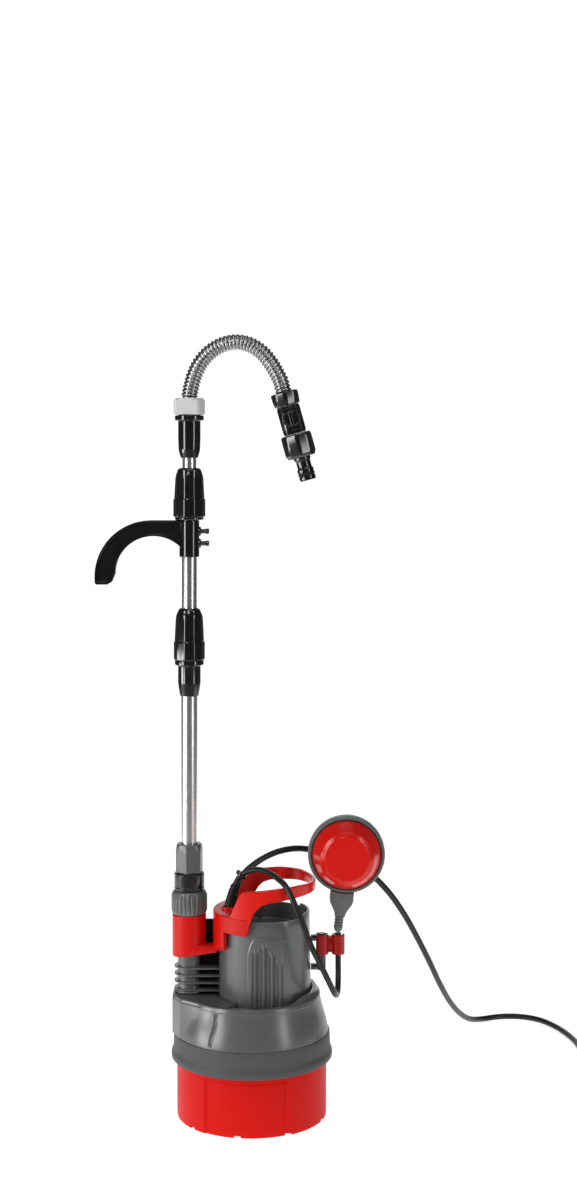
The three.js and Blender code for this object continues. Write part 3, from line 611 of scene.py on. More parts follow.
def strainer_plate():
    """Slotted plate in the underside, with a stout rim and a centre foot."""
    bm = lathe([(0, 0), (12, 0), (14, 1.2), (14, 3), (72, 3), (73.6, 4), (74.1, 6), (0, 6)], 0.6, 96)
    obj = make("strainer_grille", bm, BLACK, "strainer_plate")
    slot = [(21, -2.5), (45, -2.5), (45, 2.5), (21, 2.5)]
    cutters = [moved(prism(slot, 1, 9, bevel=0, radius=2.2, steps=4), spin(TAU * (k + 0.5) / 12))
        for k in range(12)]
    carve(obj, cutters + [moved(cylinder(2.4, 1, 9, 24), spin(TAU * k / 3) @ at(SCREW_CIRCLE_R))
        for k in range(3)])


strainer_plate()


def base_screws():
    """Countersunk screws with a cross recess, up through the plate."""
    profile = [(0, 1.6), (0.9, 0.8), (3.2, 0.6), (4, 1.4), (4, 2.2), (1.9, 2.7), (1.9, 34), (0, 35.5)]
    for k in range(3):
        name = "base_screw_%d" % (k + 1)
        place = spin(TAU * k / 3) @ at(SCREW_CIRCLE_R)
        obj = make(name + "_detail", lathe(profile, 0.25, 32), STEEL, name, place=place)
        carve(obj, [moved(box(-2.2, 2.2, -0.4, 0.4, -1, 1.9, 0), place @ spin(radians(a)))
            for a in (45, 135)])


base_screws()


# ---- Lower housing ----
def curve_through(points, x):
    """Straight lines through (x, y) points, held level beyond the ends."""
    if x <= points[0][0]:
        return points[0][1]
    for (x0, y0), (x1, y1) in zip(points, points[1:]):
        if x <= x1:
            return y0 + (y1 - y0) * (x - x0) / (x1 - x0)
    return points[-1][1]


def ray_radius(corners, angle):
    """How far a ray from the axis runs before it meets the open outline of corners."""
    direction = Vector((cos(angle), sin(angle)))
    for (ax, ay), (bx, by) in zip(corners, corners[1:]):
        a, edge = Vector((ax, ay)), Vector((bx - ax, by - ay))
        cross = direction.x * edge.y - direction.y * edge.x
        if abs(cross) < 1e-9:
            continue
        t = (a.x * edge.y - a.y * edge.x) / cross
        u = (a.x * direction.y - a.y * direction.x) / cross
        if t > 0 and -1e-6 <= u <= 1 + 1e-6:
            return t
    return 0


def lower_housing():
    """Grey bell with its skirt, the faceted outlet boss on the left and the groove beside it."""
    bell = [(86.4, 79.2), (88, 79.0), (92, 78.3), (98, 76.9), (106, 74.6), (114, 72.2), (121, 70.9)]
    top_boss = [(-39, 58), (-72, 32), (-82, 12), (-82, -12), (-72, -32), (-39, -58)]
    low_boss = [(-44, 66), (-73.5, 33), (-82, 12), (-82, -12), (-73.5, -33), (-44, -66)]
    groove_top, groove_low = radians(-118.6), radians(-121.4)

    def surface(z):
        rise = (z - 86) / 38
        corners = [(a[0] + (b[0] - a[0]) * rise, a[1] + (b[1] - a[1]) * rise)
            for a, b in zip(low_boss, top_boss)]

        def radius(a):
            r = curve_through(bell, z)
            boss = ray_radius(corners, a)
            if boss and z < 124.8:
                r = smax(r, boss, 0.8)
            if z < 122:
                middle = groove_low + (groove_top - groove_low) * rise
                width = radians(1.5)
                for side in (1, -1):
                    off = abs(wrap(a - side * middle))
                    r -= 1.3 * (1 - step(off, width * 0.45, width)) * step(z, 87.4,
                        89) * (1 - step(z, 119, 121.5))
            return r
        return radius

    def shoulder(a):
        """how much the inside shoulder rises on the right"""
        return 5.0 * (1 - step(abs(wrap(a)), radians(34), radians(52)))

    levels = [(78.6, 61), (79, 60), (82.3, 60), (83.1, 60.7), (83.3, 62), (83.3, 64.5), (82.9, 66.2),
        (82.0, 68.2), (81.35, 70), (81.1, 73), (80.9, 80), (80.6, 85.2), (80.3, 86.0), (79.7, 86.3),
        (surface(86.45), 86.45)]
    levels += [(surface(z), z) for z in (87, 87.6, 88.4, 89.2, 92, 96, 100, 104, 108, 112, 116, 119, 119.8,
        120.6, 121.2)]
    levels += [(surface(121.5), 121.5)]

    def rim(lift):
        def radius(a):
            boss = ray_radius(top_boss, a)
            return max(70.7, boss - 0.4) - lift
        return radius

    levels += [(lambda a: max(surface(121.8)(a), rim(0)(a)), 121.9), (rim(0), 122.4), (rim(0.05), 125.0),
        (rim(0.5), 125.8), (rim(1.2), 126.1)]

    def inner(r):
        def radius(a):
            boss = ray_radius(top_boss, a)
            return max(r, boss - 3.0) if boss else r
        return radius

    levels += [(inner(67.6), lambda a: 126.1 + 0.3 * shoulder(a)),
        (inner(66.8), lambda a: 126.0 + 0.9 * shoulder(a)), (inner(66), lambda a: 125.8 + shoulder(a)),
        (63.2, lambda a: 125.6 + shoulder(a)), (62.4, lambda a: 124.8 + shoulder(a)), (62.2, 117),
        (62.0, 114.4), (20, 114), (20, 110), (69, 110), (77.0, 88), (78.2, 68)]
    obj = make("bell_housing", loft(levels, 288), GREY, "lower_housing", sharp=38)
    # Faces below the skirt top take the darker grey: painted shade on the skirt.
    obj.data.materials.append(GREY_SKIRT_SHADE)
    for polygon in obj.data.polygons:
        if all(obj.data.vertices[i].co.z < SKIRT_TOP * MM for i in polygon.vertices):
            polygon.material_index = 1
    roof = lathe([(10.4, 66.5), (79, 66.5), (79, 69.8), (10.4, 69.8)], 0.3, 64)
    volute = lathe([(59, 41.3), (62, 41.3), (62, 69), (59, 69)], 0.4, 64)
    make("volute_chamber", merge(roof, volute), GREY)


def boss_deck():
    """Deck that closes the outlet boss between its rim, the pipe and the motor housing."""
    edge = [(-25.8, -56.4), (-39, -55.4), (-69.6, -30.6), (-78.8, -11.4), (-78.8, 11.4), (-69.6, 30.6),
        (-39, 55.4), (-25.8, 56.4)]
    deck = prism(edge + arc(MOTOR_X, 49.2, 126, 234, 27), 113.5, 124.2, 0.5)
    carve(make("boss_deck", deck, GREY), [moved(cylinder(12.1, 110, 128), RISER)])


lower_housing()
boss_deck()


# ---- Upper housing ----
def upper_housing():
    """Tapered motor housing: sunk top, rim step on the right, raised shield and four ribs in front."""
    foot_r, top_r, foot_z, top_z = 48.9, 46.5, 73.5, 207.0

    def plain(z):
        return foot_r + (top_r - foot_r) * (z - foot_z) / (top_z - foot_z)

    shield_left = [(120, -109), (140, -110.5), (160, -112), (176, -111), (184, -108), (190.5, -104)]
    ribs = [(-100.5, 180.5), (-90.3, 185.5), (-80.4, 178.5), (-70.5, 168)]

    def shield(a, z):
        left = radians(curve_through(shield_left, z))
        right = radians(-69)
        side = step(a, left, left + radians(1.6)) * (1 - step(a, right, right + radians(9)))
        return 0.75 * side * step(z, 117, 122) * (1 - step(z, 189.8, 191.2))

    def rib(a, z):
        out = 0.0
        for middle, top in ribs:
            off = abs(a - radians(middle)) * 48
            crest = 1 - step(off, 0.5, 1.5)
            valley = step(off, 1.2, 2.2) * (1 - step(off, 2.6, 3.8))
            out += (1.25 * crest - 0.9 * valley) * (1 - step(z, top - 3, top)) * step(z, 108, 114)
        return out

    def skin(z):
        def radius(a):
            a = wrap(a)
            return plain(z) + shield(a, z) + rib(a, z)
        return radius

    def rim_z(a):
        return 207.0 + 2.9 * (1 - step(abs(wrap(a)), radians(33), radians(35)))

    angles = [radians(-125 + 0.45 * k) for k in range(int(70 / 0.45))]
    angles += [radians(-54.5 + 2.5 * k) for k in range(int(289 / 2.5))]
    angles += [radians(s * a) for s in (-1, 1) for a in (32.6, 33.3, 34.0, 34.7, 35.4)]
    angles = in_order(angles)
    levels = [(0, 186), (44, 186), (44.6, 70.4), (57, 70.4), (57, 73.2), (plain(75) + 1.5, 73.6),
        (plain(76), 75)]
    levels += [(skin(z), z) for z in (90, 108, 111, 114, 117, 119, 121, 126, 140, 155, 163, 166, 168, 172,
        175, 178, 180, 182.5, 184, 186, 188, 189.6, 190.2, 190.8, 191.4, 195, 200)]
    levels += [(plain(206), lambda a: rim_z(a) - 1.0), (plain(206) - 0.25, lambda a: rim_z(a) - 0.3),
        (plain(206) - 0.7, rim_z), (44.7, rim_z), (44.1, lambda a: rim_z(a) - 0.3),
        (43.9, lambda a: rim_z(a) - 1.2), (43.6, 190.2), (42.8, 189.2), (41.5, 189), (0, 189)]
    obj = make("motor_housing", loft(levels, angles=angles), GREY, "upper_housing", place=MOTOR, sharp=38)
    carve(obj, [moved(cylinder(5.9, 180, 195, 32), at(x, y)) for x, y in GLANDS])
    crease = prism([(0, -1.2), (2.2, -1.2), (2.2, 1.2), (0, 1.2)], 189.2, 205, 0.4)
    make("housing_inner_rib", crease, GREY, place=MOTOR @ spin(radians(97)) @ at(41.8))


upper_housing()


# ---- Outlet ----
def outlet_pipe():
    """Outlet pipe with thread, foot flange and fins that run to the motor housing."""
    profile = [(9.5, 70.4), (11.8, 70.1), (12, 71), (12, 126.3), (15.7, 126.3), (16, 127), (15.7, 128.2),
        (12.6, 128.6), (12, 129), (12, 206), (12.4, 206.6)]
    for k in range(5):
        z = 207.4 + 2.9 * k
        profile += [(12.3, z), (13.3, z + 0.9), (13.3, z + 1.5), (12.3, z + 2.4)]
    profile += [(12.2, 222), (9.8, 222), (9.5, 221.6)]
    make("outlet_tube", lathe(profile, 0.3, 72, 2), GREY, "outlet_pipe", place=RISER)
    for k, z in enumerate((129.4, 136.9, 144.3, 151.8)):
        outline = arc(RISER_X, 15.6, 75, 285, 28)
        outline += [(MOTOR_X - sqrt(48.2 ** 2 - y * y), y) for y in [15.0 * (i / 4 - 1) for i in range(9)]]
        make("outlet_fin_%d" % (k + 1), prism(outline, z - 0.85, z + 0.85, 0.5), GREY)
    # Dark webs in the gap behind the fins: painted shade, a black sheet where the gap lies in shadow.
    webs = [box(-55, MOTOR_X - 47.2, -2.6, 2.6, 124, 166, 0.4),
        box(-50.5, MOTOR_X - 52.8, -2.6, 2.6, 172, 199.5, 0.4)]
    make("outlet_shade_webs", merge(*webs), SHADE)


outlet_pipe()


def band(r_in, r_out, start, end, low, high, count, edge=0.5):
    """A curved slab about Z from one angle to another; low and high give its edges from the angle."""
    bm = bmesh.new()
    rows = []
    for i in range(count + 1):
        a = start + (end - start) * i / count
        lo, hi = low(a), high(a)
        c, s = cos(a), sin(a)
        e = min(edge, (hi - lo) / 3)
        ring = [(r_in, lo + e), (r_in + e, lo), (r_out - e, lo), (r_out, lo + e), (r_out, hi - e),
            (r_out - e, hi), (r_in + e, hi), (r_in, hi - e)]
        rows.append([bm.verts.new((r * c, r * s, z)) for r, z in ring])
    for a, b in zip(rows, rows[1:]):
        bridge(bm, a, b)
    bm.faces.new(rows[0])
    bm.faces.new(rows[-1][::-1])
    return closed(bm)


def outlet_cover():
    """Red moulding: column round the outlet, sloping shelf, half shell and the cables' plate."""
    column = lathe([(12.6, 163), (17.4, 163), (17.6, 164), (17.6, 204.8), (17.2, 205.8), (16.2, 206),
        (12.9, 206), (12.6, 205.6)], 0.3, 96)
    obj = make("outlet_column", column, RED, "outlet_cover", place=RISER)

    def sloped(bm, low, high):
        for v in bm.verts:
            if low < v.co.z < high:
                v.co.z = 162.5 + (v.co.x + 84) * SHELF_SLOPE
        return bm

    carve(obj, [sloped(box(-90, -20, -25, 25, 140, 162.2, 0), 150, 170)])
    plan = [*arc(RISER_X, 17.6, 90, 270, 30), (-35.2, -17.6), (-35.2, 17.6)]
    shelf = sloped(prism(plan, 162.0, 176, 0), 150, 170)
    bevelled(shelf, [e for e in shelf.edges if len(e.link_faces) == 2 and e.calc_face_angle() > 0.7], 0.6)
    carve(make("outlet_shelf", shelf, RED), [moved(cylinder(12.6, 150, 190), RISER)])

    def under(a):
        return 169.6 + 6.6 * step(abs(a - pi), radians(14), radians(34))

    shell = band(49.4, 53.6, radians(141), radians(219), under, lambda a: 211, 40, 0.8)
    make("outlet_shell", shell, RED, place=MOTOR)
    make("outlet_plate", prism(arc(MOTOR_X, 52.4, 117, 243, 40), 207.3, 211.2, 1.2), RED)
    for k, (x, y) in enumerate(GLANDS):
        boss = lathe([(5.7, 208), (8.0, 208), (7.8, 211), (7.6, 213.2), (7.2, 213.9), (6.2, 214.1),
            (5.7, 213.7)], 0.3, 48)
        make("cable_boss_%d" % (k + 1), boss, RED, place=at(x, y))


outlet_cover()


def carry_handle():
    """Strap handle: two legs from the shell rise into a level loop round the right side."""
    low = [(-32, 194.4), (-3.6, 194), (-2.6, 200), (-1.2, 207.6), (2, 215.5), (5.8, 221.3), (11, 226),
        (19, 228.6), (30, 229.8), (47, 231.5), (70, 232.5)]
    high = [(-32, 196), (-27.6, 199), (-19, 216), (-12.6, 232), (-10.6, 236.2), (-7.6, 238.6), (0, 239.8),
        (11, 241), (28, 242.7), (50, 243.3), (70, 241)]

    def edge(points):
        return lambda a: curve_through(points, MOTOR_X + 50.8 * cos(a))

    end = radians(148)
    strap = band(48.7, 52.9, -end, end, edge(low), edge(high), 260, 0.9)
    make("handle_strap", strap, RED_GLOSS, "carry_handle", place=MOTOR)
    for side in (-1, 1):
        a0 = radians(110) * side
        skirt = band(49.0, 53.4, a0, radians(146) * side, lambda a: 194.2, lambda a: 211, 24, 0.7)
        make("handle_root_%s" % ("front" if side < 0 else "back"), skirt, RED, place=MOTOR)


carry_handle()


def cable_glands():
    """Two ringed sleeves that taper along the cables and bend over towards the handle."""
    for k, (x, y) in enumerate(GLANDS):
        profile = [(0, 176), (5.5, 176), (5.5, 206.4), (4.9, 207), (4.9, 214.6)]
        for i in range(6):
            z = 215.6 + 3.5 * i
            r = 4.9 - 0.13 * i
            profile += [(r, z), (r, z + 1.9), (r - 0.55, z + 2.4), (r - 0.55, z + 3.1)]
        profile += [(4.0, 236.6), (3.7, 237), (0, 237)]
        sleeve = lathe(profile, 0.2, 40, 2)
        for v in sleeve.verts:
            angle = max(0, v.co.z - GLAND_BEND_FROM) / GLAND_BEND_R
            aside = v.co.x
            if angle:
                v.co.x = GLAND_BEND_R * (1 - cos(angle)) + aside * cos(angle)
                v.co.z = GLAND_BEND_FROM + (GLAND_BEND_R - aside) * sin(angle)
        make("cable_sleeve_%d" % (k + 1), sleeve, RUBBER, None if k else "cable_gland", place=at(x, y))


cable_glands()


def cable_tie():
    """Strap round both cables with its ratchet block, and the cut tail."""
    place = Matrix.Translation((-10.2, 0, 245.2)) @ spin(radians(37), "Y")
    outline = []
    for a in range(0, 360, 10):
        c, s = cos(radians(a)), sin(radians(a))
        side = 1 if s > 0 else -1
        outline.append((c * 4.5 + side * 1.4 * min(1, abs(s) * 3), s * 4.5 + side * 4.4))
    strap = prism(outline, -1.6, 1.6, 0.5)
    make("tie_strap", strap, BLACK, "cable_tie", place=place)
    head = box(-6.6, -3.8, -1.9, 1.9, -2.2, 2.2, 0.7)
    tail = box(-7.6, -6.2, -0.9, 0.9, -0.5, 0.6, 0.3)
    make("tie_head", merge(head, tail), BLACK, place=place)


cable_tie()


def float_clip_rail():
    """Black rail on two posts at the right of the motor housing."""
    bar = lathe([(0, 147), (3.9, 147), (4.4, 147.6), (4.4, 184.6), (3.9, 185.2), (0, 185.2)], 0.3, 40)
    posts = [box(61.2, RAIL_X, -3, 3, z - 3, z + 3, 0.7) for z in (180.3, 150.5)]
    make("clip_rail", merge(moved(bar, at(RAIL_X)), *posts), BLACK, "float_clip_rail")


float_clip_rail()


def arc_clip(cx, r_out, r_in, gap_from, gap_to):
    """A ring about Z at cx, open between two angles, with softened rims."""
    ring = band(r_in, r_out, radians(gap_to), radians(gap_from + 360), lambda a: 163.5, lambda a: 184, 44,
        0.6)
    return moved(ring, at(cx))


def float_clip():
    """Double clip: one ring snaps on the rail, the other holds the float's lead."""
    rail = arc_clip(RAIL_X, 7.4, 4.8, 140, 220)
    lead = arc_clip(FLOAT_PIVOT[0], 6.8, 3.7, 20, 92)
    web = box(RAIL_X + 5.5, 84, -2.6, 2.6, 165.5, 182, 0.6)
    ribs = [box(RAIL_X + 5.5, 84, -4.2, 4.2, z, z + 1.8, 0.5) for z in (166, 179.8)]
    # The clip takes the darker red, which is painted shade.
    make("lead_clip", merge(rail, lead, web, *ribs), RED_CLIP_SHADE, "float_clip", "float_clip")


float_clip()


# ---- Riser ----
def union_nut():
    """Finely ribbed union nut, plain at its two rims."""
    def fluted(a):
        return 18.6 - 1.3 * (0.5 - 0.5 * cos(24 * a)) ** 3

    levels = [(13.9, 206.4), (17.2, 206.4), (17.7, 207.0), (17.8, 208.2), (fluted, 209.4), (fluted, 225.6),
        (17.5, 227.4), (17.0, 229.2), (16.2, 230), (11.8, 230), (11.8, 226.5), (13.8, 226.5)]
    make("union_nut_detail", loft(levels, 480), GREY, "union_nut", "union_nut", place=RISER, sharp=50)


def riser_adapter():
    """Gloss black adapter with a fine groove round it."""
    profile = [(7.4, 222.4), (13.3, 222.4), (13.3, 226.2), (11.4, 226.2), (11.4, 230.4), (15.2, 230.4),
        (15.6, 231), (15.6, 233.4), (15.2, 233.8), (15.2, 234.4), (15.6, 234.8), (15.6, 247.6),
        (15.0, 248.5), (11, 248.5), (11, 262), (8.7, 262), (8.7, 226.2), (7.4, 226.2)]
    make("adapter_ring", lathe(profile, 0.3, 80), BLACK, "riser_adapter", place=RISER)


def riser_clamp_nut():
    """Grey hexagon nut, its corners chamfered at the top."""
    flat = radians(-68)
    hexagon = flats(6, 12.95, flat, 0.7)

    def crown(limit):
        return lambda a: smin(hexagon(a), limit, 0.6)

    rows = [(8.8, 248.8), (flats(6, 12.5, flat, 0.7), 248.8), (hexagon, 249.4), (hexagon, 268.2),
        (crown(15.0), 269.4), (crown(14.4), 272.4), (crown(13.7), 275.4), (crown(12.9), 277.7),
        (12.1, 278.5), (8.9, 278.5), (8.8, 278)]
    make("hex_clamp_nut", loft(rows, 240), GREY, "riser_clamp_nut", "riser_clamp_nut", place=RISER,
        sharp=30)


def riser_tube(name, node, body, r, z0, z1):
    """Thin aluminium tube with a turned-in lip at each end."""
    bm = lathe([(r - 0.4, z0), (r - 0.1, z0), (r, z0 + 0.4), (r, z1 - 0.4), (r - 0.1, z1), (r - 0.4, z1)],
        0.1, 96)
    make(name, bm, ALUMINIUM, node, body, place=RISER)


def sleeves():
    """Tapered black sleeves at the top ends of the three tubes."""
    low = [(8.7, 431.5), (9.4, 431.5), (9.9, 432.2), (11.3, 441), (11.8, 445), (11.8, 462.6), (14.4, 463.6),
        (15.1, 464.4), (15.1, 468.4), (14.7, 469), (11, 469), (11, 486), (8.1, 486), (8.1, 463), (8.7, 463)]
    make("lower_sleeve_detail", lathe(low, 0.4, 80), BLACK, "lower_sleeve", place=RISER)
    middle = [(8.1, 614), (13.4, 614), (14.7, 614.5), (15.1, 615.3), (15.1, 616.5), (14.7, 617), (11, 617),
        (11, 634), (7.5, 634), (7.5, 630), (8.1, 630)]
    make("middle_sleeve_detail", lathe(middle, 0.3, 80), BLACK, "middle_sleeve", "middle_tube", place=RISER)
    top = [(7.5, 678.4), (8.7, 678.4), (9.1, 679), (10.6, 684), (11.3, 687.5), (11.7, 700), (11.7, 716.6),
        (14.2, 717.2), (15.1, 718), (15.1, 722), (14.7, 722.6), (11.5, 722.6), (11.5, 734.6), (6.6, 734.6),
        (6.6, 718.4), (7.5, 718.4)]
    make("top_sleeve_detail", lathe(top, 0.4, 80), BLACK, "top_sleeve", "upper_tube", place=RISER)


def clamp_nut(name, node, body, z, height, band_r, body_r, top_r, bore):
    """Clamp nut: ten-sided grip band, a step, narrowing flats and a rounded top."""
    scale = cos(pi / 10)
    turn = radians(-87)
    grip = flats(10, band_r * scale, turn, 0.3)
    upper = flats(10, body_r * scale, turn, 0.3)
    waist = flats(10, (body_r - 1.0) * scale, turn, 0.4)

    def capped(shape, limit, soft=0.7):
        return lambda a: smin(shape(a), limit, soft)
    rows = [(bore, z), (capped(grip, band_r - 0.9), z), (capped(grip, band_r - 0.3), z + 0.5),
        (grip, z + 1.2), (grip, z + 17.4), (capped(grip, band_r - 0.25), z + 18.3),
        (capped(grip, band_r - 0.8), z + 19), (upper, z + 19.4), (upper, z + 20.4),
        (waist, z + height - 11), (capped(waist, body_r - 1.3), z + height - 9.2),
        (capped(waist, body_r - 2.0), z + height - 6.6),
        (capped(waist, (body_r + top_r) / 2 - 0.9), z + height - 4.0), (top_r + 0.9, z + height - 2.2),
        (top_r - 0.1, z + height - 0.9), (top_r - 1.4, z + height), (bore + 0.3, z + height),
        (bore, z + height - 0.4)]
    make(name, loft(rows, 360), BLACK, node, body, place=RISER, sharp=14)


union_nut()
riser_adapter()
riser_clamp_nut()
riser_tube("lower_tube_detail", "lower_tube", "pump", 8.4, 226.5, 462.7)
riser_tube("middle_tube_detail", "middle_tube", "middle_tube", 7.8, 280, 629.7)
riser_tube("upper_tube_detail", "upper_tube", "upper_tube", 7.2, 330, 718)
sleeves()
clamp_nut("lower_clamp_detail", "lower_clamp_nut", "lower_clamp_nut", 469.3, 53.3, 16.3, 15.4, 10.6, 8.3)
clamp_nut("middle_clamp_detail", "middle_clamp_nut", "middle_clamp_nut", 617.3, 50.7, 16.8, 15.8, 11.6, 7.7)


# ---- Barrel hook ----
def ellipse_arc(cx, cz, rx, rz, start, end, count):
    return [(cx + rx * cos(radians(start + (end - start) * i / count)),
        cz + rz * sin(radians(start + (end - start) * i / count))) for i in range(count + 1)]


def hook():
    """Barrel hook: a web with raised rims along both curves, and the collar round the tube."""
    outer = ellipse_arc(-105, 555.2, 58, 58.5, 90, 180, 30)
    tip = [(-162.8, 549), (-161.5, 547.2), (-149.6, 547.2), (-145, 550)]
    inner = ellipse_arc(-102, 559, 39.3, 38.4, 180, 36, 40)
    web = upright(prism([(-66, 613.7), *outer, *tip, *inner, (-66, 580)], -5.2, 5.2, 0.8))
    bead = 2.6
    rim = [(-70, 613.7), *outer, *tip, *ellipse_arc(-102, 559, 39.3, 38.4, 180, 40, 40),
        *ellipse_arc(-102, 559, 39.3 + bead, 38.4 + bead, 40, 176, 40), (-149.6, 551.4), (-159.6, 550.2),
        *reversed(ellipse_arc(-105, 555.2, 58 - bead, 58.5 - bead, 90, 180, 30)), (-70, 611.1)]
    make("hook_arm", merge(web, upright(prism(rim, -7, 7, 0.8))), BLACK, "hook_clamp", "hook", sharp=16)
    collar = lathe([(8.1, 575.5), (9.6, 575.5), (10.4, 576.4), (10.4, 612.6), (9.7, 613.7), (8.1, 613.7)],
        0.4, 72)
    lug = [(0, 7.5), (4.8, 7.5), (4.8, 11.4), (4.2, 12.2), (0, 12.2)]
    lugs = [moved(lathe(lug, 0.3, 36), at(0, 0, z) @ spin(radians(90), "Y")) for z in HOOK_SCREWS.values()]
    make("hook_collar", merge(collar, *lugs), BLACK, body="hook", place=RISER)


def hook_screws():
    """Two knurled screws through the collar, with a slot across the head."""
    profile = [(0, 8.4), (2.1, 8.4)]
    for x in [9 + 1.45 * k for k in range(5)]:
        profile += [(2.3, x), (2.75, x + 0.45), (2.3, x + 1.0)]
    profile += [(2.3, 16.6), (2.9, 17.0), (2.9, 20.0), (2.4, 20.6), (0, 20.6)]
    for name, z in HOOK_SCREWS.items():
        screw = moved(lathe(profile, 0.12, 28, 2), spin(radians(90), "Y"))
        place = at(RISER_X, 0, z)
        obj = make("hook_screw_%s_detail" % name, screw, DARK_STEEL, "hook_screw_" + name, "hook", place)
        carve(obj, [moved(box(20.0, 22, -0.35, 0.35, -4, 4, 0), place @ spin(radians(35), "X"))])


hook()
hook_screws()


# ---- Hose ----
def hose_nut():
    """Light grey square nut with cut corners and a dished lower rim."""
    half, chamfer = 14.2, 2.6

    def square(shrink):
        def radius(a):
            b = abs((a + radians(10) + pi / 4) % (pi / 2) - pi / 4)
            side = (half - shrink) / cos(b)
            corner = ((half - shrink) * 2 - chamfer) / sqrt(2) / cos(pi / 4 - b)
            return smin(side, corner, 0.7)
        return radius

    rows = [(11.95, 723.3), (square(1.0), 723.3), (square(0.3), 723.8), (square(0), 724.6),
        (square(0), 738.6), (lambda a: smin(square(0)(a), 15.2, 0.8), 739.8),
        (lambda a: smin(square(0)(a), 14.2, 0.8), 740.7), (9.4, 740.7), (9.3, 740.2), (9.25, 738.3),
        (11.95, 738.2)]
    make("hose_nut_detail", loft(rows, 288), LIGHT_GREY, "hose_nut", "hose_nut", place=RISER, sharp=28)


HOSE_ROUTE = [(0, 0, 737.6), (0.2, 0, 743), (1.9, 0, 752), (5.6, 0, 765), (12.6, 0, 778.6), (24, 0, 790.2),
    (37.5, 0, 797), (51.2, 0, 798.6), (64.4, 0, 795.2), (75.4, 0, 787.8), (84, 0, 777.6), (90.2, 0, 767.4),
    (94.6, 0, 758.6), (96.9, 0, 750.9), (99.2, 0, 742.7)]


def flex_hose():
    """Corrugated steel hose: round waves at an even pitch along its centreline."""
    pitch, crest, valley = 3.9, 8.75, 6.9
    fine = smooth_path([(x + RISER_X, y, z) for x, y, z in HOSE_ROUTE], 0.42)
    along, radii = 0.0, []
    total = sum((b - a).length for a, b in zip(fine, fine[1:]))
    for i, p in enumerate(fine):
        if i:
            along += (p - fine[i - 1]).length
        wave = abs(sin(pi * along / pitch)) ** 0.75
        ends = step(along, 3.0, 6.0) * (1 - step(along, total - 6.0, total - 3.0))
        radii.append(valley + (crest - valley) * wave * ends + 0.5 * (1 - ends))
    bm = sweep(fine, radii, 56, 6.2)
    make("corrugated_hose", bm, HOSE, "flex_hose", "hose", sharp=60)


hose_nut()
flex_hose()


# ---- Shut-off valve ----
VALVE = Matrix.Translation(VALVE_POINT) @ spin(pi - VALVE_TILT, "Y")


def octagon(r):
    return flats(8, r * cos(pi / 8), pi / 8, 0.6)


def hose_end_cap():
    """Eight-sided cap where the hose enters the valve."""
    rows = [(8.9, 0.4), (octagon(13.6), 0.4), (octagon(14.4), 1.2), (octagon(14.7), 2.4),
        (octagon(14.4), 8), (octagon(13.7), 13.6), (octagon(13.1), 14.6), (7.6, 14.6), (7.6, 5), (8.9, 4.8)]
    make("hose_cap", loft(rows, 240), BLACK, "hose_end_cap", "hose", place=VALVE, sharp=26)


def valve_body():
    """Square body with bevelled edges, a boss for the lever in front and a rib down its side."""
    half, bevel = 11.6, 4.0
    plan = [(half, -half + bevel), (half, half - bevel), (half - bevel, half), (-half + bevel, half),
        (-half, half - bevel), (-half, -half + bevel), (-half + bevel, -half), (half - bevel, -half)]
    body = prism(plan, 14.9, 45, 0.9, radius=0.8, steps=2)
    make("valve_block", body, BLACK, "valve_body", "hose", VALVE, 30)
    seat = upright(lathe([(3.4, 11.0), (9.4, 11.0), (9.4, 11.8), (9.0, 12.0), (3.4, 12.0)], 0.3, 56))
    ridges = [box(-12.2, -11.2, -1.4, 1.4, 17, 43, 0.4), box(11.2, 12.2, -1.4, 1.4, 17, 43, 0.4)]
    for ring_z in (17.5, 40.5):
        ridges.append(box(-8.2, 8.2, -12.0, -11.2, ring_z, ring_z + 1.4, 0.35))
    make("valve_trim", merge(moved(seat, at(0, 0, 29)), *ridges), BLACK, body="hose", place=VALVE)


def valve_knob():
    """Round knob with a grip bar across it."""
    disc = lathe([(0, 12.2), (7.4, 12.2), (8.2, 12.9), (8.2, 14.7), (7.5, 15.5), (0, 15.5)], 0.4, 56)
    knob = moved(upright(merge(disc, cylinder(3, 6, 12.6, 28, 0.2))), at(0, 0, 29))
    bar = prism([(-2.4, 21.6), (2.4, 21.6), (1.7, 29), (2.0, 36.4), (-2.0, 36.4), (-1.7, 29)], 15.0, 18.5,
        0.8, radius=0.8, steps=2)
    make("valve_lever", merge(knob, upright(bar)), BLACK, "valve_knob", "valve_knob", place=VALVE)


def outlet_nut():
    """Eight-sided collar nut over the nipple, wide in the middle and tapered below."""
    rows = [(10.2, 45.3), (octagon(14.7), 45.3), (octagon(15.6), 46.0), (octagon(16.3), 47.4),
        (octagon(16.4), 56), (octagon(16.4), 65.4), (octagon(15.9), 67.2), (octagon(14.6), 69.9),
        (octagon(14.0), 70.4), (9.2, 70.4), (9.2, 66.8), (10.2, 66.8)]
    make("collar_nut", loft(rows, 240), BLACK, "outlet_nut", "hose", place=VALVE, sharp=26)


def quick_nipple():
    """Quick-connect nipple: neck, locking shoulder, O-ring groove and lip."""
    profile = [(5.2, 46), (9.8, 46), (9.8, 66.6), (8.8, 66.6), (8.8, 72.6), (8.4, 73.2), (7.6, 75),
        (7.6, 81.5), (8.3, 82.6), (8.7, 83.4), (8.7, 86.6), (7.4, 86.7), (7.4, 89.9), (8.7, 90),
        (8.7, 93.6), (8.2, 95), (5.9, 95), (5.2, 94.4)]
    make("nipple_detail", lathe(profile, 0.3, 72), BLACK, "quick_nipple", "hose", place=VALVE)
    ring = [(8.15 + 0.75 * cos(radians(a)), 88.3 + 1.4 * sin(radians(a))) for a in range(0, 360, 20)]
    make("nipple_seal", lathe(ring, 0, 64), RUBBER, "nipple_oring", "hose", place=VALVE)


hose_end_cap()
valve_body()
valve_knob()
outlet_nut()
quick_nipple()


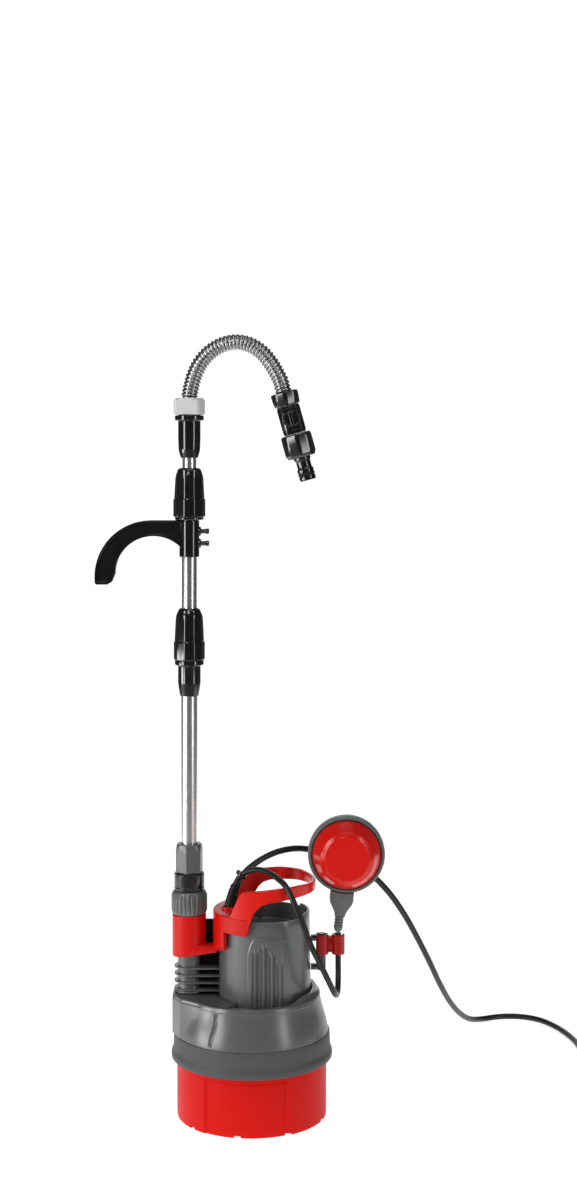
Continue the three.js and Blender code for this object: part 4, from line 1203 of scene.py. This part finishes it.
# ---- Float switch ----
FLOAT = Matrix.Translation(FLOAT_PIVOT) @ spin(FLOAT_LEAN, "Y")
FLOAT_DISC = FLOAT @ at(0, 0, FLOAT_ARM) @ spin(radians(90), "X")


def float_switch():
    """Float: red dome in front, grey rim and back, and the boot with its ribbed strain relief."""
    dome = [(0, 27), (22.5, 27, 3), (27.6, 23.6, 4), (35.6, 5.3), (33.8, 5.3), (25.6, 23.4), (22.6, 25.2),
        (0, 25.2)]
    make("float_dome", lathe(dome, 0.6, 128, 8), RED_GLOSS, "float_front", "float", place=FLOAT_DISC)
    rear = [(0, -20), (25, -20), (36, -13.5), (39.5, -8), (40, -5.5), (40, 3.2), (39.4, 4.6), (38.2, 5.1),
        (36.6, 5.0), (36.2, 4.0), (33.6, 4.0), (33.6, 3.4), (38.2, 3.4), (38.2, -6.4), (24.6, -18.2),
        (0, -18.2)]
    make("float_rear_detail", lathe(rear, 1.0, 128), GREY_FLOAT, "float_rear", "float", place=FLOAT_DISC)
    clip_ring = [(35.4, 3.6), (36.6, 3.6), (36.9, 4.4), (36.2, 5.3), (35.5, 5.2)]
    make("float_seam", lathe(clip_ring, 0.2, 128), BLACK, body="float", place=FLOAT_DISC)

    def boot_half(z):
        return curve_through([(12.4, 5.3), (14, 5.3), (17, 6.2), (22, 9.0), (26, 11.4), (29, 12.2),
            (44, 12.2)], z)
    levels = [12.4 + 0.8 * k for k in range(35)]
    right = [(boot_half(z), z) for z in levels]
    rim = [(40.2 * sin(radians(a)), FLOAT_ARM - 40.2 * cos(radians(a)))
        for a in (17.6, 12, 6, 0, -6, -12, -17.6)]
    right = [p for p in right if p[1] < FLOAT_ARM - 40.2 * cos(radians(17.6))]
    outline = right + rim + [(-x, z) for x, z in reversed(right)]
    boot = upright(prism(outline, -6, 6, 1.6))
    boot_obj = make("float_boot_detail", boot, GREY_FLOAT, "float_boot", "float", place=FLOAT)
    profile = [(0, -4.7), (2.4, -4.1), (4.1, -2.4), (4.7, 0.0)]
    for k in range(4):
        z = 0.9 + 3.0 * k
        profile += [(4.7, z), (4.7, z + 1.5), (3.7, z + 1.9), (3.7, z + 2.6)]
    profile += [(4.7, 12.9), (4.7, 14.5), (0, 14.5)]
    make("float_strain_relief", lathe(profile, 0.2, 40, 2), GREY_FLOAT, body="float", place=FLOAT)
    carve(boot_obj, [moved(upright(cylinder(1.1, 5.4, 7, 24)), FLOAT @ at(0.4, 0, 32.0))])


float_switch()


# ---- CAD nodes that stay ----
STAYING = {"suction_cover": BLACK, "impeller": BLACK, "impeller_nut": STEEL, "motor_shaft": STEEL,
    "motor_can": STEEL, "stator_core": IRON, "stator_winding": COPPER, "rotor_core": IRON,
    "upper_bearing": STEEL, "lower_bearing": STEEL, "run_capacitor": LIGHT_GREY, "shaft_seal": RUBBER,
    "housing_oring": RUBBER, "hose_seal": RUBBER, "lower_collet": LIGHT_GREY, "middle_collet": LIGHT_GREY,
    "float_ball": BRIGHT}
for cad_node, mat in STAYING.items():
    for material_slot in frame["nodes"][cad_node].material_slots:
        material_slot.material = mat


# ---- Floor, backdrop and lights ----
PAPER_GLOW = 0.78
PAPER_EDGE_GLOW = 0.03
# Grey that the paper's colour turns to at its edges: painted shade, so the floor in front and the sides read
# dark.
PAPER_EDGE_SHADE = (0.36, 0.36, 0.36, 1)


def studio_paper():
    """White paper that glows behind and under the object, and less towards its edges, where its colour also
    darkens into painted shade.
    """
    mat = material("studio_paper", (0.9, 0.9, 0.9), 0.9, rough_var=0.02, color_var=0.004, scale=3, bump=0.0,
        specular=0.0)
    tree = mat.node_tree
    link = tree.links.new
    shader = tree.nodes["Principled BSDF"].inputs
    shader["Emission Color"].default_value = (1, 1, 1, 1)
    parts = node(tree, "SeparateXYZ")
    link(node(tree, "TexCoord").outputs["Object"], parts.inputs["Vector"])
    width = node(tree, "Math", operation="ABSOLUTE")
    link(parts.outputs["X"], width.inputs[0])
    lit = node(tree, "Math", operation="MULTIPLY")
    edges = (parts.outputs["Y"], -0.62, -0.24), (width.outputs[0], 1.35, 1.0)
    for i, (source, dark, bright) in enumerate(edges):
        fade = node(tree, "MapRange", {"From Min": dark, "From Max": bright}, interpolation_type="SMOOTHSTEP")
        link(source, fade.inputs["Value"])
        link(fade.outputs["Result"], lit.inputs[i])
    glow = node(tree, "MapRange", {"To Min": PAPER_EDGE_GLOW, "To Max": PAPER_GLOW})
    # The paper's colour fades to the edge grey: painted shade.
    tint = node(tree, "Mix", {"A": PAPER_EDGE_SHADE}, data_type="RGBA")
    link(lit.outputs[0], glow.inputs["Value"])
    link(glow.outputs["Result"], shader["Emission Strength"])
    link(lit.outputs[0], tint.inputs["Factor"])
    link(shader["Base Color"].links[0].from_socket, tint.inputs["B"])
    link(tint.outputs["Result"], shader["Base Color"])
    return mat


def stage():
    """A pale floor that curves up into the wall behind, in one sheet."""
    bm = bmesh.new()
    bend_y, bend_r, half, wall = 2200, 1600, 9000, 6000
    profile = [(-half, 0), (bend_y, 0)]
    profile += [(bend_y + bend_r * sin(radians(a)), bend_r * (1 - cos(radians(a)))) for a in range(6, 91, 6)]
    profile.append((bend_y + bend_r, wall))
    rows = [[bm.verts.new((x, y, z)) for x in (-half, half)] for y, z in profile]
    for a, b in zip(rows, rows[1:]):
        bm.faces.new((a[0], a[1], b[1], b[0]))
    obj = mesh_object("studio_sweep", bm)
    obj.data.shade_smooth()
    obj.data.materials.append(studio_paper())


def area_light(name, place, target, size, power, size_y=None):
    data = bpy.data.lights.new(name, "AREA")
    data.shape = "RECTANGLE"
    data.size, data.size_y = size, size_y or size
    data.energy = power
    obj = linked(name, data)
    obj.location = place
    obj.rotation_euler = (Vector(target) - Vector(place)).to_track_quat("-Z", "Y").to_euler()


stage()
area_light("strip_left", (-1.40, -1.10, 0.90), (-0.02, 0, 0.70), 0.40, 16, 1.7)
area_light("strip_right", (1.38, -1.12, 0.90), (0, 0, 0.70), 0.32, 8, 1.7)
area_light("side_low", (-1.5, -0.42, 0.15), (-0.06, 0, 0.12), 0.5, 4, 0.26)
area_light("front_high", (-0.3, -2.2, 2.1), (0, 0, 0.2), 0.5, 6, 0.5)
area_light("top_soft", (0.1, -0.5, 2.4), (0, 0, 0.3), 1.4, 6)

world = bpy.data.worlds.new("studio")
world.use_nodes = True
backdrop = world.node_tree.nodes["Background"]
backdrop.inputs["Color"].default_value = (0.97, 0.98, 1.0, 1)
backdrop.inputs["Strength"].default_value = 0.08
scene.world = world
scene.view_settings.view_transform = "Standard"
